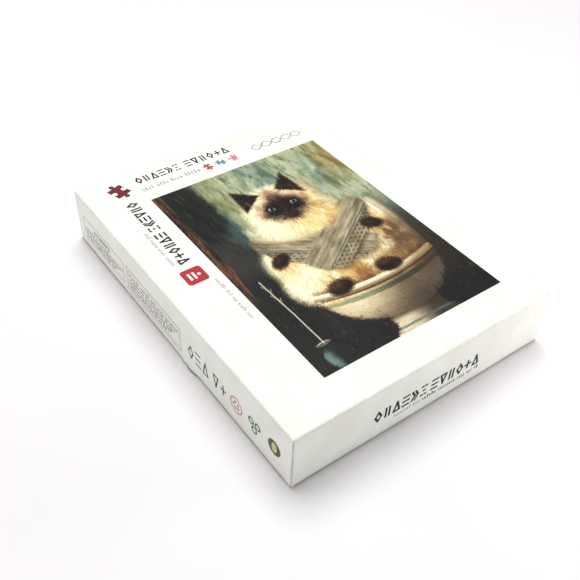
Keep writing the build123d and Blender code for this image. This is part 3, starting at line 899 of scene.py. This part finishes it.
PICTURE_FROM = (0.1500 * LENGTH, 0.0944 * LENGTH)
PICTURE_TO = (0.6886 * LENGTH, 0.8468 * LENGTH)
PRINT_LIFT = 0.03 * MM
INK_STEP = 2.5  # millimetres between the points of a mark
INK_COLOURS = {
    "dark": (26, 26, 30), "grey": (176, 176, 180), "ash": (104, 104, 108), "pale": (196, 196, 200),
    "red": (172, 40, 48), "coral": (176, 76, 72), "wine": (104, 26, 34), "white": (240, 226, 222),
    "teal": (84, 144, 156), "rose": (206, 124, 132), "pink": (196, 108, 124), "green": (62, 128, 96),
    "olive": (84, 88, 48), "cream": (204, 206, 150),
}
INKS = {name: ink(f"ink_{name}", colour) for name, colour in INK_COLOURS.items()}

# Each way of a row of signs: its reading direction, then where the signs' tops point.
ALONG_TOP = ((1, 0), (0, 1))
DOWN_TOP = ((0, -1), (1, 0))
ALONG_LEFT = ((-1, 0), (0, -1))
ALONG_FRONT = ((1, 0), (0, -1))

# Made-up signs, each a set of lines in its own cell.
SIGNS = {
    "diamond": [[(0.5, 0), (1, 0.5), (0.5, 1), (0, 0.5), (0.5, 0)]],
    "posts": [[(0.2, 0), (0.2, 1)], [(0.8, 0), (0.8, 1)]],
    "hill": [[(0, 0), (0.5, 1), (1, 0), (0, 0)]],
    "bars": [[(0, 0), (1, 0)], [(0, 0.5), (1, 0.5)], [(0, 1), (1, 1)]],
    "arrows": [[(0, 1), (0.45, 0.5), (0, 0)], [(0.55, 1), (1, 0.5), (0.55, 0)]],
    "dots": [[(0.1, 0), (0.25, 0)], [(0.75, 0), (0.9, 0)], [(0.1, 1), (0.25, 1)], [(0.75, 1), (0.9, 1)],
             [(0.42, 0.5), (0.58, 0.5)]],
    "cross": [[(0.5, 0.1), (0.5, 0.9)], [(0, 0.5), (1, 0.5)]],
    "funnel": [[(0, 1), (0.5, 0), (1, 1), (0, 1)]],
}
TITLE = ("diamond", "posts", "hill", "bars", "arrows", "dots")
SUBTITLE = ("bars", "funnel", "posts", "diamond", "cross", "hill")


def make_lid_picture(picture):
    """The picture: a film of ink on the lid's top panel, one cell of it per cell of the painting."""
    rows, columns = picture.shape[:2]
    across = np.linspace(PICTURE_FROM[0], PICTURE_TO[0], columns)
    along = np.linspace(PICTURE_FROM[1], PICTURE_TO[1], rows)
    u, v = np.meshgrid(across, along)
    points = on_lid("top", u.ravel(), v.ravel(), PRINT_LIFT)
    mesh = new_mesh("lid_picture", points.tolist(), grid_faces(rows, columns))
    set_colours(mesh, picture.reshape(-1, 3))
    piece = add_piece("lid_picture", mesh, [painted_print("printed_picture", 0.4)], "lid")
    thicken(piece, 2 * PRINT_LIFT)


def around(centre, radius, angle):
    """Point at that angle round the centre, in degrees."""
    turn = math.radians(angle)
    return centre[0] + radius * math.cos(turn), centre[1] + radius * math.sin(turn)


def arc(centre, radius, start, end, steps):
    """Points on an arc, both ends included."""
    return [around(centre, radius, start + (end - start) * step / steps) for step in range(steps + 1)]


def placed(start, way, reach, rise):
    """Point that far along a row of signs and up from its foot."""
    reading, upward = way
    return start[0] + reading[0] * reach + upward[0] * rise, start[1] + reading[1] * reach + upward[1] * rise


def jigsaw_outline(centre, size, turn, knobs):
    """A jigsaw piece's outline; knobs says which sides have a knob that stands out (1) or is cut in (-1)."""
    points = []
    for side, out in enumerate(knobs):
        edge = [(-0.36, -0.36)]
        for step in range(11):
            edge.append(around((0, -0.36 - 0.1 * out), 0.115, out * (121 + 29.8 * step)))
        direction = math.radians(turn + 90 * side)
        for along, away in edge:
            points.append((
                centre[0] + size * (along * math.cos(direction) - away * math.sin(direction)),
                centre[1] + size * (along * math.sin(direction) + away * math.cos(direction)),
            ))
    return points


class Ink:
    """Marks in one ink on one face of the lid, in millimetres from its near left top corner."""

    def __init__(self, face, colour, lift=PRINT_LIFT):
        self.face = face
        self.colour = colour
        self.lift = lift
        self.points = []
        self.faces = []

    def shape(self, outline):
        """One closed mark."""
        loop = []
        for start, end in zip(outline, outline[1:] + outline[:1]):
            count = max(1, math.ceil(math.dist(start, end) / INK_STEP))
            for share in (step / count for step in range(count)):
                loop.append(Vector([first + (last - first) * share for first, last in zip(start, end)]))
        low = [min(point[axis] for point in loop) for axis in (0, 1)]
        high = [max(point[axis] for point in loop) for axis in (0, 1)]
        inner = []
        for column in range(1, math.ceil((high[0] - low[0]) / INK_STEP)):
            for row in range(1, math.ceil((high[1] - low[1]) / INK_STEP)):
                inner.append(Vector((low[0] + column * INK_STEP, low[1] + row * INK_STEP)))
        found = delaunay_2d_cdt(loop + inner, [], [list(range(len(loop)))], 1, 1e-5)
        flat = np.array([tuple(point) for point in found[0]]) * MM
        start = len(self.points)
        for lift in (self.lift, -PRINT_LIFT):
            self.points += on_lid(self.face, flat[:, 0], flat[:, 1], lift).tolist()
        edges = {}
        for triangle in found[2]:
            self.faces.append([start + index for index in triangle])
            self.faces.append([start + len(flat) + index for index in reversed(triangle)])
            for edge in zip(triangle, triangle[1:] + triangle[:1]):
                edges[tuple(sorted(edge))] = None if tuple(sorted(edge)) in edges else edge
        for edge in edges.values():
            if edge:
                first, second = start + edge[0], start + edge[1]
                self.faces.append([first, first + len(flat), second + len(flat), second])

    def bar(self, from_u, from_v, to_u, to_v):
        self.shape([(from_u, from_v), (to_u, from_v), (to_u, to_v), (from_u, to_v)])

    def frame(self, from_u, from_v, to_u, to_v, width):
        """Outline of a rectangle, as four bars."""
        self.bar(from_u, from_v, to_u, from_v + width)
        self.bar(from_u, to_v - width, to_u, to_v)
        self.bar(from_u, from_v + width, from_u + width, to_v - width)
        self.bar(to_u - width, from_v + width, to_u, to_v - width)

    def disc(self, centre, radius, inner=0.0):
        """A disc, or a ring as two halves."""
        if not inner:
            self.shape(arc(centre, radius, 0, 348.75, 32))
            return
        for start in (0, 180):
            outside = arc(centre, radius, start, start + 180, 16)
            self.shape(outside + arc(centre, inner, start + 180, start, 16))

    def stroke(self, path, width):
        """A line of that width through the points."""
        for start, end in zip(path, path[1:]):
            reach = math.dist(start, end)
            u, v = (end[0] - start[0]) / reach * width / 2, (end[1] - start[1]) / reach * width / 2
            self.shape([
                (start[0] - u - v, start[1] - v + u), (start[0] - u + v, start[1] - v - u),
                (end[0] + u + v, end[1] + v - u), (end[0] + u - v, end[1] + v + u),
            ])

    def signs(self, start, way, height, pitch, pattern, width):
        """A row of made-up signs."""
        for index, sign in enumerate(pattern):
            for path in SIGNS[sign]:
                line = []
                for across, up in path:
                    reach = pitch * (index + 0.12 + 0.62 * across)
                    line.append(placed(start, way, reach, width / 2 + (height - width) * up))
                self.stroke(line, width)

    def small_print(self, start, way, length, height, seed):
        """One line of fine ticks, grouped like words."""
        draw = random.Random(seed)
        place = 0.0
        ticks = draw.randint(3, 8)
        while place < length:
            high = height * draw.choice((0.62, 0.62, 0.62, 0.95))
            wide = height * draw.uniform(0.2, 0.42)
            corners = ((place, 0.0), (place + wide, 0.0), (place + wide, high), (place, high))
            self.shape([placed(start, way, reach, rise) for reach, rise in corners])
            ticks -= 1
            place += wide + 0.22 * height
            if not ticks:
                ticks = draw.randint(3, 8)
                place += 0.45 * height

    def make(self):
        name = f"ink_{self.colour}_{self.face}"
        mesh = clean(new_mesh(name, self.points, self.faces))
        add_piece(name, mesh, [INKS[self.colour]], "lid")


def print_jigsaw_mark(colour, centre, size, turn, knobs):
    ink = Ink("top", colour)
    ink.shape(jigsaw_outline(centre, size, turn, knobs))
    ink.make()


def print_top():
    """Title rows, badge and signs round the picture."""
    ink = Ink("top", "dark")
    ink.signs((42.6, 255.2), ALONG_TOP, 8.1, 6.5, TITLE, 1.25)
    ink.signs((84.9, 255.2), ALONG_TOP, 8.1, 6.7, SUBTITLE, 1.25)
    ink.signs((22.6, 237.2), DOWN_TOP, 8.5, 6.5, TITLE, 1.45)
    ink.signs((22.6, 195.4), DOWN_TOP, 8.5, 6.4, SUBTITLE, 1.45)
    ink.make()

    ink = Ink("top", "grey")
    ink.small_print((42.1, 244.7), ALONG_TOP, 49.5, 4.7, 3)
    ink.small_print((17.4, 200.2), DOWN_TOP, 41.8, 3.6, 4)
    ink.small_print((33.4, 133.6), DOWN_TOP, 45.4, 3.2, 5)
    ink.make()
    print_jigsaw_mark("wine", (26.8, 254.6), 17.5, 20, (1, -1, 1, -1))

    ink = Ink("top", "red")
    badge = []
    for quarter in range(4):
        corner = around((24.9, 144.1), 7.6, 45 + 90 * quarter)
        badge += arc(corner, 2.4, 90 * quarter, 90 * quarter + 90, 5)
    ink.shape(badge)
    ink.make()

    ink = Ink("top", "white", 2 * PRINT_LIFT)
    ink.bar(20.6, 140.6, 22.4, 147.6)
    ink.bar(24.0, 140.6, 25.8, 147.6)
    ink.disc((28.3, 144.1), 1.3)
    ink.make()

    print_jigsaw_mark("coral", (98.5, 246.4), 8.6, 15, (1, -1, 1, -1))
    print_jigsaw_mark("teal", (110.0, 246.4), 8.6, -20, (-1, 1, -1, 1))
    print_jigsaw_mark("rose", (121.0, 246.4), 8.6, 35, (1, 1, -1, -1))

    ink = Ink("top", "pale")
    for phase in (0, math.pi):
        braid = []
        for share in (step / 60 for step in range(61)):
            braid.append((140.5 + 48 * share, 249 + 3.4 * math.sin(phase + 5 * math.pi * share)))
        ink.stroke(braid, 1.0)
    ink.make()


def print_left():
    """Two outlined panels and five signs on the long side face, read from the far end."""
    ink = Ink("left", "dark")
    ink.frame(200.8, 16.8, 264.8, 36.6, 0.35)
    ink.frame(121.8, 16.8, 196.1, 37.7, 0.35)
    ink.frame(124.0, 19.0, 193.9, 35.5, 0.2)
    ink.signs((247.5, 23.4), ALONG_LEFT, 3.5, 3.8, TITLE[:4] + SUBTITLE[:3], 0.7)
    for row, line in enumerate((27.6, 31.0, 34.4)):
        ink.small_print((262.0, line), ALONG_LEFT, 58.5 - 6 * row, 2.3, 21 + row)
    for row, line in enumerate((23.4, 26.9, 30.4, 33.9)):
        ink.small_print((191.8, line), ALONG_LEFT, 65.5 - 4 * row, 2.4, 31 + row)
    ink.signs((113.0, 33.0), ALONG_LEFT, 11.6, 8.8, ("diamond", "bars", "hill"), 1.1)
    ink.signs((83.0, 33.0), ALONG_LEFT, 11.2, 8.4, ("funnel", "cross"), 1.2)
    ink.make()

    ink = Ink("left", "pink")
    ink.disc((56.4, 27.0), 6.6, 5.6)
    for petal in range(5):
        ink.disc(around((56.4, 27.0), 2.7, 72 * petal), 1.2)
    ink.make()

    ink = Ink("left", "green")
    for leaf in (90, 210, 330):
        ink.disc(around((37.1, 26.4), 3.9, leaf), 3.1, 1.6)
    ink.make()

    ink = Ink("left", "olive")
    ink.disc((17.0, 24.8), 6.1)
    ink.make()
    ink = Ink("left", "cream", 2 * PRINT_LIFT)
    ink.shape(arc((20.6, 24.8), 6.2, 140, 220, 8) + arc((13.4, 24.8), 6.2, -40, 40, 8))
    ink.make()


def print_front():
    """Large title and its second line on the near end face."""
    ink = Ink("front", "dark")
    ink.signs((60.2, 29.4), ALONG_FRONT, 9.6, 7.4, TITLE, 1.65)
    ink.signs((106.4, 29.4), ALONG_FRONT, 9.6, 7.2, SUBTITLE, 1.65)
    ink.make()
    for colour, start, length, seed in (("ash", 100.5, 48.0, 41), ("grey", 77.0, 22.0, 42)):
        ink = Ink("front", colour)
        ink.small_print((start, 34.6), ALONG_FRONT, length, 3.6, seed)
        ink.make()


# ---------------------------------------------------------------- what lies inside

POSTER_SHEET = (297 * MM, 420 * MM)
POSTER_PAPER = 0.2 * MM
POSTER_CELL = 1.5 * MM
POSTER_SPRING = 1.6 * MM  # rise of the upper leaf's free corner
POSTER_RIPPLE = 0.25 * MM  # unevenness of the upper leaf
POSTER_MARGIN = 0.03  # share of the sheet's width left white round its picture
PUZZLE_ROWS = sorted(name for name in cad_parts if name.startswith("puzzle_row_"))
ROW_PIECES = 15
PUZZLE_SIZE = (0.3, 0.42)  # of the finished puzzle
PICTURE_UP = 0.72  # share of the pieces
PIECE_CELL = 1.6 * MM
HEAP_CELL = 4 * MM
FILM = 0.08 * MM
FILM_ROOM = 0.5 * MM  # between the pieces and the film over them
FILM_CREASE = 0.9 * MM  # height of its soft creases
FILM_EXCESS = 0.7 * MM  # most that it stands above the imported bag
FILM_TUCK = 1.1 * MM  # most that the bag's sides are drawn in
SEAL_ROOM = 0.12 * MM  # between the press seal and the film round it
BAG_CORNER = 12 * MM
BAG_STEP = 4 * MM  # between the points round the bag
BAG_SHOULDER = 2.2 * MM  # drop of the film at the heap's edge
BAG_FOOT = 1.2 * MM
BOTTOM_SEAM = 6 * MM


def folded(run, fold):
    """How far a sheet has turned round a fold of that width, and how far it runs on past it."""
    bend = np.clip(run / (math.pi * fold / 2), -1, 1) * math.pi / 2
    return bend, np.maximum(np.abs(run) - math.pi * fold / 4, 0)


def make_poster(picture):
    """Poster sheet folded across at -Y and then lengthwise at +X, its print outside."""
    width, height = POSTER_SHEET
    rise = POSTER_HIGH[2] - POSTER_LOW[2] - POSTER_PAPER
    gap = 0.28 * rise
    fold = (rise - gap) / 2
    columns = round(width / POSTER_CELL) + 1
    rows = round(height / POSTER_CELL) + 1
    share_x, share_y = np.meshgrid(np.linspace(0, 1, columns), np.linspace(0, 1, rows))
    share_x, share_y = share_x.ravel(), share_y.ravel()

    bend, past = folded((share_y - 0.5) * height, gap)
    y = POSTER_LOW[1] + gap + past - gap / 2 * np.cos(bend)
    radius = fold - gap / 2 * np.sin(bend)
    bend, past = folded((share_x - 0.5) * width, fold)
    x = POSTER_HIGH[0] - fold - gap / 2 - POSTER_PAPER - past + radius * np.cos(bend)
    z = (POSTER_LOW[2] + POSTER_HIGH[2]) / 2 + radius * np.sin(bend)

    free = smooth(POSTER_HIGH[0] - x, 0.03, 0.15) * smooth(y, -0.08, 0.105)
    spring = (POSTER_SPRING * free + POSTER_RIPPLE * (value_noise(x, y, 0.05, 71) - 0.5)) * (share_x > 0.5)
    z = z + spring * smooth(POSTER_HIGH[0] - x, 0.002, 0.02)
    mesh = new_mesh("folded_poster", np.stack([x, y, z], axis=1).tolist(), grid_faces(rows, columns))

    inner = 1 - 2 * POSTER_MARGIN
    colours = sample(picture, (share_x - POSTER_MARGIN) / inner, (share_y - POSTER_MARGIN) / inner)
    beside = np.abs(share_x - 0.5) >= 0.5 - POSTER_MARGIN
    beyond = np.abs(share_y - 0.5) >= 0.5 - POSTER_MARGIN * width / height
    colours[beside | beyond] = tone((244, 243, 238))
    set_colours(mesh, colours)
    back = plain_paper("poster_back", (244, 243, 238), (232, 230, 224))
    materials = [painted_print("poster_print", 0.5), back]
    piece = add_piece("folded_poster", mesh, materials, "poster", True)
    thicken(piece, POSTER_PAPER, 1)
    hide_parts("picture_poster")


def islands(shape):
    """The separate pieces of a bmesh, in the order of their first vertex."""
    seen = set()
    found = []
    for vertex in shape.verts:
        if vertex in seen:
            continue
        seen.add(vertex)
        waiting = [vertex]
        group = []
        while waiting:
            here = waiting.pop()
            group.append(here)
            for edge in here.link_edges:
                other = edge.other_vert(here)
                if other not in seen:
                    seen.add(other)
                    waiting.append(other)
        found.append(group)
    return found


def boundary_loop(faces):
    """The vertices round a flat patch of faces, in order."""
    inside = set(faces)
    onward = {}
    for face in faces:
        for corner in face.loops:
            if sum(other in inside for other in corner.edge.link_faces) == 1:
                onward[corner.vert] = corner.link_loop_next.vert
    first = next(iter(onward))
    loop = [first]
    while onward[loop[-1]] is not first:
        loop.append(onward[loop[-1]])
    return loop


def retop(shape, faces):
    """Swap a piece's flat upper face for a fine mesh that can carry its part of the picture."""
    loop = boundary_loop(faces)
    ring = np.array([vertex.co for vertex in loop])
    centre = ring.mean(0)
    slope = np.linalg.lstsq(np.c_[ring[:, :2] - centre[:2], np.ones(len(ring))], ring[:, 2], rcond=None)[0]
    low, high = ring.min(0), ring.max(0)
    grid_x, grid_y = np.meshgrid(*(np.arange(low[axis], high[axis], PIECE_CELL) for axis in (0, 1)))
    grid = np.stack([grid_x.ravel(), grid_y.ravel()], axis=1)
    flat = [Vector(point / MM) for point in np.concatenate([ring[:, :2], grid])]
    found = delaunay_2d_cdt(flat, [], [list(range(len(loop)))], 1, 1e-5)
    corners = []
    for index, point in enumerate(found[0]):
        origins = [origin for origin in found[3][index] if origin < len(loop)]
        if origins:
            corners.append(loop[origins[0]])
            continue
        x, y = point[0] * MM, point[1] * MM
        z = slope[0] * (x - centre[0]) + slope[1] * (y - centre[1]) + slope[2]
        corners.append(shape.verts.new((x, y, z)))
    bmesh.ops.delete(shape, geom=faces, context="FACES_KEEP_BOUNDARY")
    made = [shape.faces.new([corners[index] for index in triangle]) for triangle in found[2]]
    return made, corners, centre


def make_pieces(picture):
    """The pieces of each row: some picture up, the others with their bare back up, edges burnt."""
    draw = random.Random(12)
    materials = [painted_print("piece_print", 0.45), bare_wood(), burnt_edge()]
    printed, back, edge = range(3)
    for row, node in enumerate(PUZZLE_ROWS):
        shape = bmesh.new()
        shape.from_mesh(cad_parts[node].data)
        bmesh.ops.remove_doubles(shape, verts=shape.verts, dist=1e-6)
        shape.normal_update()
        shape.faces.index_update()
        places = {}
        for column, group in enumerate(islands(shape)):
            linked = {face for vertex in group for face in vertex.link_faces}
            faces = sorted(linked, key=lambda face: face.index)
            over, under = (printed, back) if draw.random() < PICTURE_UP else (back, printed)
            for face in faces:
                face.material_index = under if face.normal.z < -0.9 else edge
            made, corners, centre = retop(shape, [face for face in faces if face.normal.z > 0.9])
            for face in made:
                face.material_index = over
            for vertex in set(group) | set(corners):
                if vertex.is_valid:
                    places[vertex] = (
                        (column + 0.5) / ROW_PIECES + (vertex.co.x - centre[0]) / PUZZLE_SIZE[0],
                        (row + 0.5) / len(PUZZLE_ROWS) + (vertex.co.y - centre[1]) / PUZZLE_SIZE[1],
                    )
        shape.verts.index_update()
        across, up = np.array([places[vertex] for vertex in shape.verts]).T
        bmesh.ops.recalc_face_normals(shape, faces=shape.faces)
        name = node.replace("puzzle_row", "picture_pieces")
        mesh = bpy.data.meshes.new(name)
        shape.to_mesh(mesh)
        shape.free()
        set_colours(mesh, sample(picture, across, up))
        piece = add_piece(name, mesh, materials, "bag")
        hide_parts(node)


def neighbours(grid, reach):
    """Copies of the grid, each shifted by up to that many cells."""
    rows, columns = grid.shape
    padded = np.pad(grid, reach, mode="edge")
    shifts = range(2 * reach + 1)
    return [padded[up:up + rows, over:over + columns] for up in shifts for over in shifts]


def heap_height():
    """Height of the heap on a grid over the bag, spread sideways so that film over it stays clear."""
    columns = round((BAG_HIGH[0] - BAG_LOW[0]) / HEAP_CELL) + 1
    rows = round((BAG_HIGH[1] - BAG_LOW[1]) / HEAP_CELL) + 1
    heights = np.full((rows, columns), BAG_LOW[2])
    for node in PUZZLE_ROWS:
        x, y, z = coordinates(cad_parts[node].data).T
        column = np.round((x - BAG_LOW[0]) / HEAP_CELL).astype(int)
        row = np.round((y - BAG_LOW[1]) / HEAP_CELL).astype(int)
        np.maximum.at(heights, (row, column), z)
    return np.mean(neighbours(np.max(neighbours(heights, 4), axis=0), 2), axis=0)


def bag_outline(half_x, half_y):
    """Places and outward directions round the bag's body, seen from above."""
    inner = np.array((half_x - BAG_CORNER, half_y - BAG_CORNER))
    walk = []
    for quarter, side in enumerate(((1, 1), (-1, 1), (-1, -1), (1, -1))):
        walk += arc(inner * side, BAG_CORNER, 90 * quarter, 90 * quarter + 90, 6)
    places, directions = [], []
    for start, end in zip(walk, walk[1:] + walk[:1]):
        steps = max(1, round(math.dist(start, end) / BAG_STEP))
        for step in range(steps):
            place = np.array(start) + (np.array(end) - np.array(start)) * (step / steps)
            outward = place - np.clip(place, -inner, inner)
            places.append(place)
            directions.append(outward / np.linalg.norm(outward))
    return (*np.array(places).T, *np.array(directions).T)


def film_height(heights, x, y):
    """Height of the film over the heap, with its soft creases."""
    heap = blended(heights[..., None], (x - BAG_LOW[0]) / HEAP_CELL, (y - BAG_LOW[1]) / HEAP_CELL)[:, 0]
    creases = FILM_CREASE * np.abs(fractal(x + 0.4 * y, y - 0.3 * x, 0.035, 81, 2.5) - 0.5) * 2
    return np.minimum(heap + FILM_ROOM + creases, BAG_HIGH[2] + FILM_EXCESS)


def add_flat_tube(points, faces, half_width, near, far, low, high):
    """Two films lying on each other along Y, joined at their sides."""
    across = np.linspace(-half_width, half_width, 41)
    rows = np.linspace(near, far, 5)
    faces += ring_faces(len(points), len(rows), 2 * len(across))
    for y in rows:
        points += [(x, y, low) for x in across] + [(x, y, high) for x in across[::-1]]


def make_bag():
    """Clear film drawn over the heap: a bag body with creased sides, and its flat mouth and bottom seam."""
    heights = heap_height()
    low = BAG_LOW[2]
    body_end = -(BAG_LOW[1] + BOTTOM_SEAM)
    across, along, out_x, out_y = bag_outline(BAG_HIGH[0], body_end)
    edge = film_height(heights, across * 0.985, along * 0.985) - BAG_SHOULDER
    rings = []
    for share in np.linspace(0, 1, 46)[1:]:
        x, y = across * share, along * share
        rings.append((x, y, film_height(heights, x, y) - BAG_SHOULDER * smooth(share, 0.975, 1.0)))
    for share in np.linspace(0, 1, 15)[1:-1]:
        tuck = FILM_TUCK * value_noise(across + along, share * 0.02, 0.006, 83, 3.0)
        inward = tuck * math.sin(math.pi * share)
        x, y = across - out_x * inward, along - out_y * inward
        rings.append((x, y, edge + (low + BAG_FOOT - edge) * share))
    for share in np.linspace(1, 0, 24)[:-1]:
        z = np.full(len(across), low) + BAG_FOOT * smooth(share, 0.975, 1.0)
        rings.append((across * share, along * share, z))
    points = []
    for ring in rings:
        points += np.stack(ring, axis=1).tolist()
    size = len(across)
    faces = ring_faces(0, len(rings), size)
    top_middle = len(points)
    points.append((0, 0, float(film_height(heights, np.zeros(1), np.zeros(1))[0])))
    points.append((0, 0, low))
    last = top_middle - size
    for index in range(size):
        following = (index + 1) % size
        faces.append((index, following, top_middle))
        faces.append((last + following, last + index, top_middle + 1))
    seal_low, seal_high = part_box("bag_press_seal")
    for near, far, top in (
        (body_end - 0.5 * MM, BAG_HIGH[1], seal_high[2] + SEAL_ROOM),
        (0.5 * MM - body_end, BAG_LOW[1], seal_low[2] + 0.2 * MM),
    ):
        add_flat_tube(points, faces, seal_high[0] + 0.3 * MM, near, far, seal_low[2] - SEAL_ROOM, top)
    mesh = clean(new_mesh("film_bag", points, faces))
    piece = add_piece("film_bag", mesh, [clear_film()], "bag", True)
    thicken(piece, FILM)
    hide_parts("piece_bag")


# ---------------------------------------------------------------- light, floor and camera

FLOOR_SIZE = 12
SURROUND = (0.972, 0.963, 0.953, 1.0)
SURROUND_STRENGTH = (0.25, 0.66)  # from -Y to +Y
LIGHTS = (  # name, place, width, watts and colour
    ("key", (0.2, 0.5, 1.7), 1.3, 25, (1.0, 0.99, 0.97)),
    ("left_fill", (-1.2, 0.9, 0.6), 0.7, 3.2, (1.0, 0.98, 0.94)),
    ("right_fill", (0.36, -0.33, 0.09), 0.25, 1.0, (1.0, 0.99, 0.97)),
)
CAMERA_LENS = 49.35  # on a sensor 36 mm wide
CAMERA_FROM = (-0.59088, -0.72988, 1.27147)  # box lengths from the lid's near left top corner
CAMERA_HEADING, CAMERA_DOWN, CAMERA_ROLL = -37.764, 42.789, 2.6025


def make_studio():
    """Pale floor, a large soft light above and behind the box, and a white surround that fades towards -Y."""
    paint = Paint("pale_floor", 0.6, 0.2)
    bpy.ops.mesh.primitive_plane_add(size=FLOOR_SIZE)
    floor = bpy.context.object
    floor.name = "floor"
    colour = paint.mix(paint.patches(3.0, 3, 0.3, 0.7), (237, 235, 238), (242, 240, 243))
    floor.data.materials.append(paint.finished(colour))

    world = bpy.data.worlds.new("surround")
    world.use_nodes = True
    tree = world.node_tree
    direction = add_node(tree, "SeparateXYZ", Vector=add_node(tree, "TexCoord").outputs["Generated"])
    low, high = SURROUND_STRENGTH
    fade = add_node(
        tree, "MapRange", Value=direction.outputs["Y"], From_Min=-1, From_Max=1, To_Min=low, To_Max=high,
    )
    background = tree.nodes["Background"]
    feed(tree, background.inputs["Color"], SURROUND)
    feed(tree, background.inputs["Strength"], fade.outputs["Result"])
    bpy.context.scene.world = world

    for name, place, size, energy, colour in LIGHTS:
        light = bpy.data.lights.new(name, "AREA")
        light.shape = "DISK"
        light.size = size
        light.energy = energy
        light.color = colour
        lamp = bpy.data.objects.new(name, light)
        lamp.location = place
        lamp.rotation_euler = (-Vector(place)).to_track_quat("-Z", "Y").to_euler()
        bpy.context.scene.collection.objects.link(lamp)


def make_camera():
    """High three-quarter view onto the near left corner, slightly rolled."""
    camera = bpy.data.objects.new("camera", bpy.data.cameras.new("camera"))
    camera.data.lens = CAMERA_LENS
    camera.data.sensor_width = 36
    place = Vector((LID_LOW[0], LID_LOW[1], TOP)) + Vector(CAMERA_FROM) * LENGTH
    turn = Matrix.Rotation(math.radians(CAMERA_HEADING), 4, "Z")
    turn = turn @ Matrix.Rotation(math.radians(90 - CAMERA_DOWN), 4, "X")
    roll = Matrix.Rotation(math.radians(CAMERA_ROLL), 4, "Z")
    camera.matrix_world = Matrix.Translation(place) @ turn @ roll
    bpy.context.scene.collection.objects.link(camera)
    bpy.context.scene.camera = camera
    bpy.context.scene.view_settings.view_transform = "Standard"


def paint_frame():
    """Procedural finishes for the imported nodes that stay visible."""
    board = greyboard()
    tape = plain_paper("kraft_stay_tape", (190, 158, 116), (164, 132, 92), 500)
    white = plain_paper("uncoated_white_paper", (242, 241, 237), (232, 230, 224), 1600)
    for material, nodes in (
        (board, ("lid_board", "base_board")),
        (tape, ("lid_corner_stays", "base_corner_stays")),
        (white, ("base_wrap", "bottom_sheet")),
        (seal_plastic(), ("bag_press_seal",)),
    ):
        for node in nodes:
            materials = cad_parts[node].data.materials
            for index in range(len(materials)):
                materials[index] = material


make_studio()
make_camera()
paint_frame()
painting = paint_picture()
make_lid_paper()
make_lid_picture(painting)
print_top()
print_left()
print_front()
make_poster(painting)
make_pieces(painting)
make_bag()
